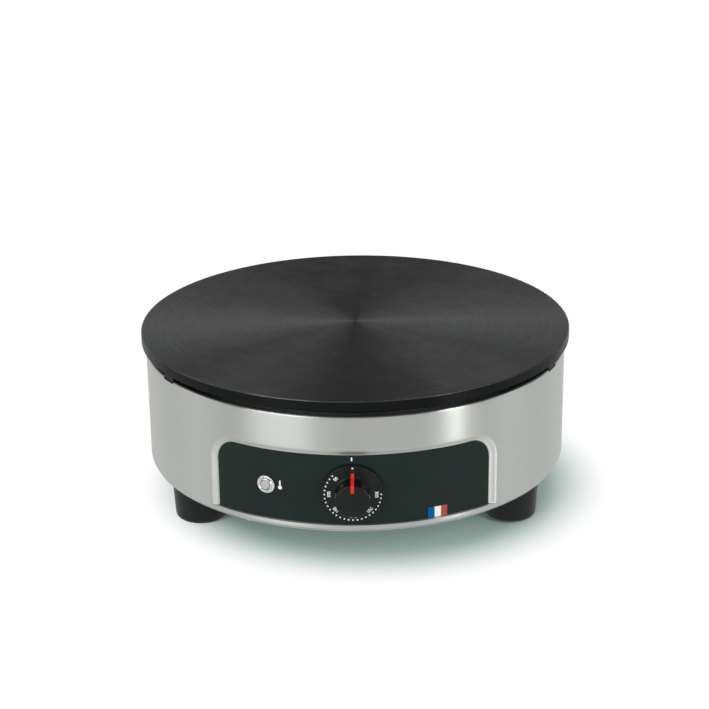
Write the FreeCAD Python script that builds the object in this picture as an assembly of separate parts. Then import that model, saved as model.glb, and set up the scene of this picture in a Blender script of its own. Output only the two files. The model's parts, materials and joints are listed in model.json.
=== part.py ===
import FreeCAD, Part
import math
import os

# Electric crepe maker. Millimetres, +Z up, origin on the counter under the plate's centre.
# The front, with the control panel, looks towards -Y. An azimuth is counted from the front,
# positive towards +X.

# Feet and base plate
FOOT_H = 36.6
FOOT_TOP_R = 26.5
FOOT_BOTTOM_R = 24.5
FOOT_ROUND = 5.0
FOOT_INSET = 32.0
FOOT_NAMES = ("foot_front_left", "foot_front_right", "foot_rear")
FOOT_AZIMUTHS = (-60.0, 60.0, 180.0)
FOOT_WEB = 10.0
FOOT_WELL_R = 9.0
BASE_INSET = 1.5
BASE_T = 1.2
VENT_LENGTH = 34.0
VENT_WIDTH = 5.0
VENT_PITCH = 13.0
VENT_INSET = 104.0
VENT_GROUPS = 6
VENTS_IN_GROUP = 3

# Body shell
BODY_R = 196.0
BODY_H = 107.2
SHELL_T = 1.2
SHELL_ROUND = 1.1
LIP_W = 5.0
FLANGE_W = 14.0

# Griddle plate
VENT_GAP = 6.0
PLATE_OVERHANG = 4.0
PLATE_RIM = 9.0
PLATE_EDGE_ROUND = 1.0
SKIRT_INSET = 8.0
SKIRT_WALL = 12.0
SKIRT_DROP = 6.0
LUG_AZIMUTHS = (-57.5, 66.0, 184.0)
LUG_W = 16.0
LUG_DROP = 9.0
LUG_END_GAP = 0.8
NOTCH_GAP = 2.0
NOTCH_BELOW_LUG = 0.3

# Control panel recess and its overlay
PANEL_HALF_ANGLE = 37.85
PANEL_BOTTOM_ABOVE_BODY_BOTTOM = 4.9
PANEL_CORNER_R = 20.0
RECESS_DEPTH = 3.0
OVERLAY_T = 0.8
ADHESIVE_T = 0.2
OVERLAY_EDGE_GAP = 0.4

# Knob
KNOB_TO_PANEL_BOTTOM = 3.15
KNOB_TO_PANEL_TOP = 9.35
KNOB_PANEL_GAP = 0.4
DIAL_R = 27.0
DIAL_EDGE_T = 2.2
DIAL_CONE = 0.8
GRIP_BASE_R = 15.8
GRIP_FACE_R = 15.0
GRIP_H = 15.2
GRIP_ROUND = 1.0
POINTER_W = 3.0
POINTER_PROUD = 0.3
POINTER_DEPTH = 1.0
POINTER_ON_DIAL = 3.8
POINTER_ON_FACE = 7.1
SHAFT_R = 3.0
SHAFT_FLAT = 2.3
SHAFT_RUN_GAP = 0.05
SHAFT_IN_KNOB = 11.0
KNOB_BORE_GAP = 0.3
CLIP_T = 0.6
CLIP_W = 3.6
CLIP_L = 8.0
CLIP_GAP = 0.05
PANEL_SHAFT_HOLE_R = 6.0

# Thermostat
BRACKET_INSET = 20.0
BRACKET_T = 1.5
BRACKET_W = 50.0
BRACKET_H = 58.0
BRACKET_FOOT = 24.0
THERMOSTAT_W = 42.0
THERMOSTAT_H = 34.0
THERMOSTAT_D = 28.0
COLLAR_R = 5.0
COLLAR_L = 8.0
COLLAR_HOLE_GAP = 0.2
THERMOSTAT_NUT_R = 8.0
THERMOSTAT_NUT_T = 3.0
SHAFT_IN_BODY = 12.0

# Indicator lamp
LAMP_AZIMUTH = -22.8
LAMP_ABOVE_KNOB = 2.15
BEZEL_R = 8.3
BEZEL_T = 1.5
BEZEL_RING_R = 6.4
BEZEL_RING_H = 3.1
BEZEL_TUBE_R = 6.0
BEZEL_TUBE_L = 13.0
LENS_R = 4.4
LENS_BACK = 4.0
LENS_PROUD = 0.7
LENS_GAP = 0.1
LAMP_BODY_L = 20.0
LAMP_NUT_R = 8.6
LAMP_NUT_T = 3.5
LAMP_HOLE_GAP = 0.3
OUTSIDE_SEAT_GAP = 0.3
INSIDE_SEAT_GAP = 0.3

# Heating element
ELEMENT_TUBE_R = 4.25
ELEMENT_INSET = 46.0
ELEMENT_RING_STEP = 50.0
ELEMENT_AZIMUTH = 180.0
ELEMENT_START_ANGLE = 12.0
ELEMENT_TURN_ANGLE = 15.0
ELEMENT_BEND_R = 12.0
ELEMENT_LEG_BELOW_PAN = 10.0
ELEMENT_SEAT_GAP = 0.1
PIN_R = 2.0
PIN_L = 12.0

# Studs, clamp bars, heat shield
STUD_AZIMUTHS = (0.0, 120.0, 240.0)
STUD_R = 3.0
STUD_HOLE_GAP = 0.3
STUD_IN_PLATE = 7.0
BOSS_R = 8.0
BAR_GAP_TO_BOSS = 1.0
BAR_W = 20.0
BAR_T = 3.0
BAR_OVERHANG = 5.0
NUT_AF_PER_R = 10.0 / 6.0
NUT_H = 5.0
PAN_INSET = 22.0
PAN_T = 1.0
PAN_BELOW_BAR = 22.3
PAN_RIM_GAP = 3.0
INSULATION_T = 15.0
INSULATION_EDGE_GAP = 0.3
LEG_HOLE_GAP = 2.5

# Sensor and cut-out
BULB_R = 3.0
BULB_L = 90.0
BULB_CLIP_W = 14.0
BULB_CLIP_T = 1.5
BULB_CLIP_SCREW_Y = 11.0
SENSOR_BOSS_R = 6.0
SENSOR_SCREW_R = 2.0
SENSOR_SCREW_HEAD_R = 3.6
SENSOR_SCREW_HEAD_H = 2.4
SENSOR_SCREW_IN_PLATE = 5.0
CAPILLARY_R = 1.2
CAPILLARY_BEND_R = 10.0
CUTOUT_Y = -50.0
CUTOUT_R = 8.0
CUTOUT_H = 10.0
CUTOUT_FLANGE_L = 32.0
CUTOUT_FLANGE_W = 12.0
CUTOUT_FLANGE_T = 1.2

# Plate seats
SEAT_LEG_H = 28.0
SEAT_T = 1.5
SEAT_SHELF_REACH = 16.5
SEAT_WALL_GAP = 0.3
PLATE_BOLT_R = 2.5
PLATE_BOLT_INSET = 9.0
PLATE_BOLT_HEAD_H = 3.5
PLATE_BOLT_IN_LUG = 7.5

# Fasteners of the base
RIM_SCREW_AZIMUTHS = (-151.0, -90.0, -29.0, 29.0, 90.0, 151.0)
RIM_SCREW_INSET = 7.2
RIM_SCREW_R = 2.0
RIM_SCREW_HEAD_R = 3.5
RIM_SCREW_HEAD_H = 2.4
RIM_SCREW_L = 4.8
SCREW_HOLE_GAP = 0.15
FOOT_SCREW_R = 4.0
FOOT_SCREW_HEAD_R = 6.5
FOOT_SCREW_HEAD_H = 5.0
FOOT_NUT_H = 6.5
FOOT_SCREW_PAST_NUT = 1.5
RIVET_R = 1.6
RIVET_HEAD_R = 3.2
RIVET_HEAD_H = 1.0
RIVET_SPREAD = 17.0

# Terminal block, earth
BLOCK_TO_FOOT = 6.5
BLOCK_W = 60.0
BLOCK_D = 22.0
BLOCK_H = 18.0
BLOCK_FOOT_T = 4.0
BLOCK_FOOT_D = 38.0
BLOCK_FOOT_W = 16.0
TERMINAL_PITCH = 19.4
TERMINAL_R = 4.0
TERMINAL_PROUD = 1.0
EARTH_X = 55.0
EARTH_STUD_R = 2.5
EARTH_STUD_H = 14.0
EARTH_NUT_H = 4.0

# Internal leads
LEAD_R = 1.5
LEAD_BEND_R = 9.0
LAMP_LEAD_R = 1.1

# Cable gland
GLAND_ABOVE_BODY_BOTTOM = 26.0
GLAND_THREAD_R = 10.0
GLAND_HOLE_GAP = 0.2
GLAND_THREAD_IN = 10.0
GLAND_HEX_R = 13.6
GLAND_FLANGE_T = 3.4
GLAND_COLLAR_R = 9.4
GLAND_COLLAR_L = 6.0
GLAND_WAY_R = 6.6
SEAL_OUTER_R = 8.5
SEAL_L = 8.6
CABLE_R = 5.1
DOME_H = 12.6
DOME_HEX_H = 6.0
DOME_THREAD_GAP = 0.1
SEAL_GAP = 0.1
GLAND_SEAT_GAP = 0.3
LOCKNUT_T = 5.0

# How far a cutting piece runs past what it cuts
CUT_PAST = 1.0
CUT_REACH = 10.0

# Heights and radii that follow
BODY_BOTTOM_Z = FOOT_H + BASE_T
BODY_TOP_Z = BODY_BOTTOM_Z + BODY_H
PLATE_UNDER_Z = BODY_TOP_Z + VENT_GAP
PLATE_TOP_Z = PLATE_UNDER_Z + PLATE_RIM
LUG_BOTTOM_Z = PLATE_UNDER_Z - LUG_DROP
PLATE_R = BODY_R + PLATE_OVERHANG
SKIRT_R = BODY_R - SKIRT_INSET
BASE_R = BODY_R - BASE_INSET
VENT_R = BODY_R - VENT_INSET
FOOT_CIRCLE_R = BODY_R - FOOT_INSET
RIM_SCREW_CIRCLE_R = BODY_R - RIM_SCREW_INSET
PLATE_BOLT_CIRCLE_R = BODY_R - PLATE_BOLT_INSET
BRACKET_FRONT_R = BODY_R - BRACKET_INSET
PAN_R = BODY_R - PAN_INSET
ELEMENT_OUTER_R = BODY_R - ELEMENT_INSET
ELEMENT_INNER_R = ELEMENT_OUTER_R - ELEMENT_RING_STEP
SHELL_INNER_R = BODY_R - SHELL_T
RECESS_R = BODY_R - RECESS_DEPTH
PANEL_BOTTOM_Z = BODY_BOTTOM_Z + PANEL_BOTTOM_ABOVE_BODY_BOTTOM
KNOB_Z = PANEL_BOTTOM_Z + KNOB_TO_PANEL_BOTTOM + DIAL_R
PANEL_TOP_Z = KNOB_Z + DIAL_R + KNOB_TO_PANEL_TOP
OVERLAY_OUT_R = RECESS_R + ADHESIVE_T + OVERLAY_T
LAMP_Z = KNOB_Z + LAMP_ABOVE_KNOB
GLAND_Z = BODY_BOTTOM_Z + GLAND_ABOVE_BODY_BOTTOM
STUD_CIRCLE_R = (ELEMENT_OUTER_R + ELEMENT_INNER_R) / 2
ELEMENT_Z = PLATE_UNDER_Z - ELEMENT_SEAT_GAP - ELEMENT_TUBE_R
BAR_TOP_Z = ELEMENT_Z - ELEMENT_TUBE_R - ELEMENT_SEAT_GAP
BAR_UNDER_Z = BAR_TOP_Z - BAR_T
BOSS_Z = BAR_TOP_Z + BAR_GAP_TO_BOSS
PAN_TOP_Z = BAR_UNDER_Z - PAN_BELOW_BAR
PAN_UNDER_Z = PAN_TOP_Z - PAN_T
LEG_END_Z = PAN_UNDER_Z - ELEMENT_LEG_BELOW_PAN
BULB_Z = PLATE_UNDER_Z - ELEMENT_SEAT_GAP - BULB_R
BRACKET_BACK_R = BRACKET_FRONT_R - BRACKET_T
BRACKET_FOOT_TOP_Z = BODY_BOTTOM_Z + BRACKET_T
THERMOSTAT_BACK_R = BRACKET_BACK_R - THERMOSTAT_D
BLOCK_TOP_Z = BODY_BOTTOM_Z + BLOCK_H
BLOCK_Y = FOOT_CIRCLE_R - FOOT_TOP_R - BLOCK_TO_FOOT - BLOCK_FOOT_D / 2
EARTH_Y = BLOCK_Y


def vec(x, y, z):
    return FreeCAD.Vector(x, y, z)


UP = vec(0, 0, 1)
CENTRE = vec(0, 0, 0)


def cylinder(radius, z0, z1, x=0.0, y=0.0):
    return Part.makeCylinder(radius, z1 - z0, vec(x, y, z0))


def ring(outer, inner, z0, z1, x=0.0, y=0.0):
    return cylinder(outer, z0, z1, x, y).cut(cylinder(inner, z0 - 1, z1 + 1, x, y))


def box(x0, x1, y0, y1, z0, z1):
    return Part.makeBox(x1 - x0, y1 - y0, z1 - z0, vec(x0, y0, z0))


def hexagon(corner_r, z0, z1, x=0.0, y=0.0):
    corners = []
    for step in range(7):
        angle = math.radians(60 * step)
        corners.append(vec(x + corner_r * math.cos(angle), y + corner_r * math.sin(angle), z0))
    return Part.Face(Part.makePolygon(corners)).extrude(vec(0, 0, z1 - z0))


def turned(corners):
    """Solid of revolution about Z. Each corner is (radius, z) or (radius, z, round)."""
    edges = []
    firsts = []
    lasts = []
    count = len(corners)
    for index, corner in enumerate(corners):
        here = vec(corner[0], 0, corner[1])
        bend = corner[2] if len(corner) > 2 else 0.0
        if not bend:
            firsts.append(here)
            lasts.append(here)
            continue
        before = corners[index - 1]
        after = corners[(index + 1) % count]
        to_before = (vec(before[0], 0, before[1]) - here).normalize()
        to_after = (vec(after[0], 0, after[1]) - here).normalize()
        half = to_before.getAngle(to_after) / 2
        first = here + to_before * (bend / math.tan(half))
        last = here + to_after * (bend / math.tan(half))
        centre = here + (to_before + to_after).normalize() * (bend / math.sin(half))
        middle = centre + (here - centre).normalize() * bend
        edges.append(Part.Arc(first, middle, last).toShape())
        firsts.append(first)
        lasts.append(last)
    for index in range(count):
        start = lasts[index]
        end = firsts[(index + 1) % count]
        if start.distanceToPoint(end) > 1e-6:
            edges.append(Part.LineSegment(start, end).toShape())
    outline = Part.Wire(Part.__sortEdges__(edges))
    return Part.Face(outline).revolve(CENTRE, UP, 360)


def at_azimuth(shape, azimuth):
    """Turn a piece made at the front round to its azimuth."""
    piece = shape.copy()
    piece.rotate(CENTRE, UP, azimuth)
    return piece


def outward(shape, radius, z, azimuth):
    """Lay a piece made along +Z so that it points out of the body, its zero at the radius."""
    piece = shape.copy()
    piece.rotate(CENTRE, vec(1, 0, 0), 90)
    piece.translate(vec(0, -radius, z))
    return at_azimuth(piece, azimuth)


def around(radius, azimuth):
    angle = math.radians(azimuth)
    return radius * math.sin(angle), -radius * math.cos(angle)


def sector(inner, outer, half_angle, z0, z1, corner):
    """Curved slab at the front, its two upper corners rounded."""
    section = Part.makePolygon(
        [
            vec(inner, 0, z0),
            vec(outer, 0, z0),
            vec(outer, 0, z1),
            vec(inner, 0, z1),
            vec(inner, 0, z0),
        ]
    )
    slab = Part.Face(section).revolve(CENTRE, UP, 2 * half_angle)
    slab.rotate(CENTRE, UP, -90 - half_angle)
    for side in (-1, 1):
        if corner > 0:
            slab = slab.cut(corner_waste(inner, outer, side * half_angle, z1, corner, side))
    return slab


def corner_waste(inner, outer, azimuth, z1, corner, side):
    """What comes off the upper corner of a slab that ends at the azimuth."""
    low_x, high_x = sorted((-side * corner, side))
    back = -inner + corner
    front = -outer - CUT_PAST
    waste = box(low_x, high_x, front, back, z1 - corner, z1 + CUT_PAST)
    axis_start = vec(-side * corner, back + CUT_PAST, z1 - corner)
    reach = back - front + 2 * CUT_PAST
    round_off = Part.makeCylinder(corner, reach, axis_start, vec(0, -1, 0))
    return at_azimuth(waste.cut(round_off), azimuth)


def tube(points, radius, bend):
    """Round rod along a path of straight runs with tangent bends."""
    edges = []
    start = points[0]
    for index in range(1, len(points) - 1):
        here = points[index]
        to_before = (points[index - 1] - here).normalize()
        to_after = (points[index + 1] - here).normalize()
        half = to_before.getAngle(to_after) / 2
        reach = bend / math.tan(half)
        first = here + to_before * reach
        last = here + to_after * reach
        centre = here + (to_before + to_after).normalize() * (bend / math.sin(half))
        middle = centre + (here - centre).normalize() * bend
        edges.append(Part.LineSegment(start, first).toShape())
        edges.append(Part.Arc(first, middle, last).toShape())
        start = last
    edges.append(Part.LineSegment(start, points[-1]).toShape())
    return rod(edges, radius, points[0], points[1] - points[0])


def rod(edges, radius, start, direction):
    """Round rod along smooth edges, starting square to the direction."""
    path = Part.Wire(edges)
    rim = Part.Wire([Part.Circle(start, direction, radius).toShape()])
    solid = path.makePipeShell([rim], True, False)
    expected = math.pi * radius ** 2 * path.Length
    print("rod volume over section times length", round(solid.Volume / expected, 4))
    return solid


def group(pieces):
    return Part.makeCompound(pieces)


# Griddle plate

def griddle_plate():
    skirt_z = PLATE_UNDER_Z - SKIRT_DROP
    plate = turned(
        [
            (0, PLATE_UNDER_Z),
            (SKIRT_R - SKIRT_WALL, PLATE_UNDER_Z),
            (SKIRT_R - SKIRT_WALL, skirt_z),
            (SKIRT_R, skirt_z),
            (SKIRT_R, PLATE_UNDER_Z),
            (PLATE_R, PLATE_UNDER_Z),
            (PLATE_R, PLATE_TOP_Z, PLATE_EDGE_ROUND),
            (0, PLATE_TOP_Z),
        ]
    )
    lug_inner_r = SKIRT_R - SKIRT_WALL / 2
    lug = box(
        -LUG_W / 2,
        LUG_W / 2,
        -(BODY_R - LUG_END_GAP),
        -lug_inner_r,
        LUG_BOTTOM_Z,
        PLATE_UNDER_Z + PLATE_RIM / 2,
    )
    bolt_top = LUG_BOTTOM_Z + PLATE_BOLT_IN_LUG
    lug_hole = cylinder(
        PLATE_BOLT_R + SCREW_HOLE_GAP, LUG_BOTTOM_Z - 1, bolt_top + 1, 0, -PLATE_BOLT_CIRCLE_R
    )
    for azimuth in LUG_AZIMUTHS:
        plate = plate.fuse(at_azimuth(lug, azimuth)).cut(at_azimuth(lug_hole, azimuth))
    boss = cylinder(BOSS_R, BOSS_Z, PLATE_UNDER_Z + 1, 0, -STUD_CIRCLE_R)
    stud_hole = cylinder(
        STUD_R + SHAFT_RUN_GAP, BOSS_Z - 1, BOSS_Z + STUD_IN_PLATE + 1, 0, -STUD_CIRCLE_R
    )
    for azimuth in STUD_AZIMUTHS:
        plate = plate.fuse(at_azimuth(boss, azimuth)).cut(at_azimuth(stud_hole, azimuth))
    clip_boss_z = BULB_Z - BULB_R - ELEMENT_SEAT_GAP
    plate = plate.fuse(
        cylinder(SENSOR_BOSS_R, clip_boss_z, PLATE_UNDER_Z + 1, 0, BULB_CLIP_SCREW_Y)
    )
    for x, y, seat_z in sensor_screw_places():
        hole_top = seat_z + SENSOR_SCREW_IN_PLATE + 1
        plate = plate.cut(cylinder(SENSOR_SCREW_R + SHAFT_RUN_GAP, seat_z - 12, hole_top, x, y))
    return plate


def stud_at(azimuth):
    return around(STUD_CIRCLE_R, azimuth)


def clamp_studs():
    studs = []
    stud_end_z = PAN_UNDER_Z - NUT_H - 2
    for azimuth in STUD_AZIMUTHS:
        x, y = stud_at(azimuth)
        studs.append(cylinder(STUD_R, stud_end_z, BOSS_Z + STUD_IN_PLATE, x, y))
    return group(studs)


def clamp_bar(azimuth):
    reach = (ELEMENT_OUTER_R - ELEMENT_INNER_R) / 2 + ELEMENT_TUBE_R + BAR_OVERHANG
    bar = box(
        -BAR_W / 2,
        BAR_W / 2,
        -STUD_CIRCLE_R - reach,
        -STUD_CIRCLE_R + reach,
        BAR_UNDER_Z,
        BAR_TOP_Z,
    )
    hole = cylinder(
        STUD_R + STUD_HOLE_GAP, BAR_UNDER_Z - 1, BAR_TOP_Z + 1, 0, -STUD_CIRCLE_R
    )
    return at_azimuth(bar.cut(hole), azimuth)


def stud_nuts(top_z):
    nuts = []
    for azimuth in STUD_AZIMUTHS:
        x, y = stud_at(azimuth)
        nut = hexagon(STUD_R * NUT_AF_PER_R * 1.15, top_z - NUT_H, top_z, x, y)
        nuts.append(nut.cut(cylinder(STUD_R + SHAFT_RUN_GAP, top_z - NUT_H - 1, top_z + 1, x, y)))
    return group(nuts)


# Heating element

def ring_point(radius, angle, z):
    x, y = around(radius, angle)
    return vec(x, y, z)


def ring_tangent(angle):
    turn = math.radians(angle)
    return vec(math.cos(turn), math.sin(turn), 0)


def element_leg_points():
    """Foot of each leg, before the element is turned to its azimuth."""
    feet = []
    for radius in (ELEMENT_OUTER_R, ELEMENT_INNER_R):
        start = ring_point(radius, ELEMENT_START_ANGLE, LEG_END_Z)
        feet.append(start - ring_tangent(ELEMENT_START_ANGLE) * ELEMENT_BEND_R)
    return feet


def leg_bend(foot, tangent):
    """Arc from the top of an upright leg into the ring."""
    low = vec(foot.x, foot.y, ELEMENT_Z - ELEMENT_BEND_R)
    centre = low + tangent * ELEMENT_BEND_R
    middle = centre + (UP - tangent).normalize() * ELEMENT_BEND_R
    return low, middle, vec(centre.x, centre.y, ELEMENT_Z)


def heating_element():
    outer_foot, inner_foot = element_leg_points()
    tangent = ring_tangent(ELEMENT_START_ANGLE)
    end_angle = 360 - ELEMENT_TURN_ANGLE
    mid_angle = (ELEMENT_START_ANGLE + end_angle) / 2
    low, middle, high = leg_bend(outer_foot, tangent)
    edges = [
        Part.LineSegment(outer_foot, low).toShape(),
        Part.Arc(low, middle, high).toShape(),
    ]
    outer_end = ring_point(ELEMENT_OUTER_R, end_angle, ELEMENT_Z)
    inner_end = ring_point(ELEMENT_INNER_R, end_angle, ELEMENT_Z)
    outer_mid = ring_point(ELEMENT_OUTER_R, mid_angle, ELEMENT_Z)
    inner_mid = ring_point(ELEMENT_INNER_R, mid_angle, ELEMENT_Z)
    turn_r = (ELEMENT_OUTER_R - ELEMENT_INNER_R) / 2
    turn_mid = ring_point(STUD_CIRCLE_R, end_angle, ELEMENT_Z) + ring_tangent(end_angle) * turn_r
    edges.append(Part.Arc(high, outer_mid, outer_end).toShape())
    edges.append(Part.Arc(outer_end, turn_mid, inner_end).toShape())
    low, middle, high = leg_bend(inner_foot, tangent)
    edges.append(Part.Arc(inner_end, inner_mid, high).toShape())
    edges.append(Part.Arc(high, middle, low).toShape())
    edges.append(Part.LineSegment(low, inner_foot).toShape())
    return at_azimuth(rod(edges, ELEMENT_TUBE_R, outer_foot, UP), ELEMENT_AZIMUTH)


def element_legs():
    """The legs' feet where they are on the finished object."""
    feet = []
    for foot in element_leg_points():
        place = Part.Vertex(foot)
        place.rotate(CENTRE, UP, ELEMENT_AZIMUTH)
        feet.append(place.Point)
    return feet


def element_pins():
    pins = []
    for foot in element_legs():
        pins.append(cylinder(PIN_R, LEG_END_Z - PIN_L, LEG_END_Z, foot.x, foot.y))
    return group(pins)


# Heat shield and insulation

def shield_openings(z0, z1):
    """What passes through the heat shield and the insulation."""
    openings = []
    for azimuth in STUD_AZIMUTHS:
        x, y = stud_at(azimuth)
        openings.append(cylinder(STUD_R + STUD_HOLE_GAP, z0, z1, x, y))
    for foot in element_legs():
        openings.append(cylinder(ELEMENT_TUBE_R + LEG_HOLE_GAP, z0, z1, foot.x, foot.y))
    drop = capillary_points()[1]
    openings.append(cylinder(CAPILLARY_R + LEG_HOLE_GAP, z0, z1, drop.x, drop.y))
    return openings


def heat_shield_pan():
    rim_z = PLATE_UNDER_Z - PAN_RIM_GAP
    pan = turned(
        [
            (0, PAN_UNDER_Z),
            (PAN_R, PAN_UNDER_Z),
            (PAN_R, rim_z),
            (PAN_R - PAN_T, rim_z),
            (PAN_R - PAN_T, PAN_TOP_Z),
            (0, PAN_TOP_Z),
        ]
    )
    for opening in shield_openings(PAN_UNDER_Z - 1, PAN_TOP_Z + 1):
        pan = pan.cut(opening)
    return pan


def insulation_blanket():
    top_z = PAN_TOP_Z + INSULATION_T
    blanket = cylinder(PAN_R - PAN_T - INSULATION_EDGE_GAP, PAN_TOP_Z, top_z)
    for opening in shield_openings(PAN_TOP_Z - 1, top_z + 1):
        blanket = blanket.cut(opening)
    return blanket


# Sensor and cut-out

def sensor_screw_places():
    """x, y and the height of the seat under each screw's head."""
    clip_under_z = BULB_Z - BULB_R - ELEMENT_SEAT_GAP - BULB_CLIP_T
    flange_under_z = PLATE_UNDER_Z - CUTOUT_FLANGE_T
    ear = CUTOUT_FLANGE_L / 2 - SENSOR_SCREW_HEAD_R
    return [
        (0.0, BULB_CLIP_SCREW_Y, clip_under_z),
        (-ear, CUTOUT_Y, flange_under_z),
        (ear, CUTOUT_Y, flange_under_z),
    ]


def sensor_screws():
    screws = []
    for x, y, seat_z in sensor_screw_places():
        shank = cylinder(SENSOR_SCREW_R, seat_z, seat_z + SENSOR_SCREW_IN_PLATE, x, y)
        head = cylinder(SENSOR_SCREW_HEAD_R, seat_z - SENSOR_SCREW_HEAD_H, seat_z, x, y)
        screws.append(shank.fuse(head))
    return group(screws)


def sensor_bulb():
    return Part.makeCylinder(BULB_R, BULB_L, vec(-BULB_L / 2, 0, BULB_Z), vec(1, 0, 0))


def bulb_clip():
    x, y, under_z = sensor_screw_places()[0]
    top_z = under_z + BULB_CLIP_T
    clip = box(
        -BULB_CLIP_W / 2,
        BULB_CLIP_W / 2,
        -2 * BULB_R,
        BULB_CLIP_SCREW_Y + SENSOR_BOSS_R,
        under_z,
        top_z,
    )
    return clip.cut(cylinder(SENSOR_SCREW_R + SCREW_HOLE_GAP, under_z - 1, top_z + 1, x, y))


def thermal_cutout():
    flange_under_z = PLATE_UNDER_Z - CUTOUT_FLANGE_T
    cutout = box(
        -CUTOUT_FLANGE_L / 2,
        CUTOUT_FLANGE_L / 2,
        CUTOUT_Y - CUTOUT_FLANGE_W / 2,
        CUTOUT_Y + CUTOUT_FLANGE_W / 2,
        flange_under_z,
        PLATE_UNDER_Z,
    )
    body_under_z = PLATE_UNDER_Z - CUTOUT_H
    cutout = cutout.fuse(cylinder(CUTOUT_R, body_under_z, PLATE_UNDER_Z - 0.1, 0, CUTOUT_Y))
    for x, y, seat_z in sensor_screw_places()[1:]:
        hole = cylinder(SENSOR_SCREW_R + SCREW_HOLE_GAP, seat_z - 1, PLATE_UNDER_Z + 1, x, y)
        cutout = cutout.cut(hole)
    return cutout


def capillary_points():
    drop_x = -BULB_L / 2 - 1.6 * CAPILLARY_BEND_R
    low_z = PAN_UNDER_Z - 1.8 * CAPILLARY_BEND_R
    end_x = THERMOSTAT_W / 3
    end_z = KNOB_Z + THERMOSTAT_H / 3
    return [
        vec(-BULB_L / 2, 0, BULB_Z),
        vec(drop_x, 0, BULB_Z),
        vec(drop_x, 0, low_z),
        vec(end_x, -THERMOSTAT_BACK_R + 4 * CAPILLARY_BEND_R, end_z),
        vec(end_x, -THERMOSTAT_BACK_R, end_z),
    ]


def capillary_tube():
    return tube(capillary_points(), CAPILLARY_R, CAPILLARY_BEND_R)


# Body shell

def knob_hole(radius):
    hole = cylinder(radius, -RECESS_DEPTH - CUT_REACH, CUT_REACH)
    return outward(hole, BODY_R, KNOB_Z, 0)


def lamp_hole():
    hole = cylinder(BEZEL_TUBE_R + LAMP_HOLE_GAP, -RECESS_DEPTH - CUT_REACH, CUT_REACH)
    return outward(hole, BODY_R, LAMP_Z, LAMP_AZIMUTH)


def body_shell():
    outside = turned(
        [
            (0, BODY_BOTTOM_Z),
            (BODY_R, BODY_BOTTOM_Z, SHELL_ROUND),
            (BODY_R, BODY_TOP_Z, SHELL_ROUND),
            (0, BODY_TOP_Z),
        ]
    )
    outside = outside.cut(
        sector(RECESS_R, BODY_R + 5, PANEL_HALF_ANGLE, PANEL_BOTTOM_Z, PANEL_TOP_Z, PANEL_CORNER_R)
    )
    flange_top_z = BODY_BOTTOM_Z + SHELL_T
    lip_under_z = BODY_TOP_Z - SHELL_T
    inside = turned(
        [
            (0, BODY_BOTTOM_Z - 1),
            (BODY_R - FLANGE_W, BODY_BOTTOM_Z - 1),
            (BODY_R - FLANGE_W, flange_top_z),
            (SHELL_INNER_R, flange_top_z),
            (SHELL_INNER_R, lip_under_z),
            (BODY_R - LIP_W, lip_under_z),
            (BODY_R - LIP_W, BODY_TOP_Z + 1),
            (0, BODY_TOP_Z + 1),
        ]
    )
    wall_angle = math.degrees(SHELL_T / BODY_R)
    inside = inside.cut(
        sector(
            RECESS_R - SHELL_T,
            BODY_R + 5,
            PANEL_HALF_ANGLE + wall_angle,
            PANEL_BOTTOM_Z - SHELL_T,
            PANEL_TOP_Z + SHELL_T,
            PANEL_CORNER_R + SHELL_T,
        )
    )
    shell = outside.cut(inside)
    notch_half = LUG_W / 2 + NOTCH_GAP
    notch = box(
        -notch_half,
        notch_half,
        -BODY_R - 5,
        -SKIRT_R + 5,
        LUG_BOTTOM_Z - NOTCH_BELOW_LUG,
        BODY_TOP_Z + 5,
    )
    for azimuth in LUG_AZIMUTHS:
        shell = shell.cut(at_azimuth(notch, azimuth))
    shell = shell.cut(knob_hole(PANEL_SHAFT_HOLE_R)).cut(lamp_hole())
    gland_hole = cylinder(GLAND_THREAD_R + GLAND_HOLE_GAP, -CUT_REACH, CUT_REACH)
    shell = shell.cut(outward(gland_hole, BODY_R, GLAND_Z, 180))
    for x, y in rim_screw_places():
        shell = shell.cut(
            cylinder(RIM_SCREW_R + SCREW_HOLE_GAP, BODY_BOTTOM_Z - 1, flange_top_z + 1, x, y)
        )
    return shell


def seat_bracket(azimuth):
    outer_r = SHELL_INNER_R - SEAT_WALL_GAP
    half_angle = math.degrees(LUG_W / 2 / BODY_R)
    leg = sector(
        outer_r - SEAT_T, outer_r, half_angle, LUG_BOTTOM_Z - SEAT_LEG_H, LUG_BOTTOM_Z, 0
    )
    shelf = sector(
        outer_r - SEAT_SHELF_REACH, outer_r, half_angle, LUG_BOTTOM_Z - SEAT_T, LUG_BOTTOM_Z, 0
    )
    hole = cylinder(
        PLATE_BOLT_R + SCREW_HOLE_GAP,
        LUG_BOTTOM_Z - SEAT_T - 1,
        LUG_BOTTOM_Z + 1,
        0,
        -PLATE_BOLT_CIRCLE_R,
    )
    return at_azimuth(leg.fuse(shelf).cut(hole), azimuth)


def plate_bolts():
    bolts = []
    seat_z = LUG_BOTTOM_Z - SEAT_T
    for azimuth in LUG_AZIMUTHS:
        x, y = around(PLATE_BOLT_CIRCLE_R, azimuth)
        shank = cylinder(PLATE_BOLT_R, seat_z, LUG_BOTTOM_Z + PLATE_BOLT_IN_LUG, x, y)
        head = hexagon(
            PLATE_BOLT_R * NUT_AF_PER_R * 1.1, seat_z - PLATE_BOLT_HEAD_H, seat_z, x, y
        )
        bolts.append(shank.fuse(head))
    return group(bolts)


# Control panel

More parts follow.
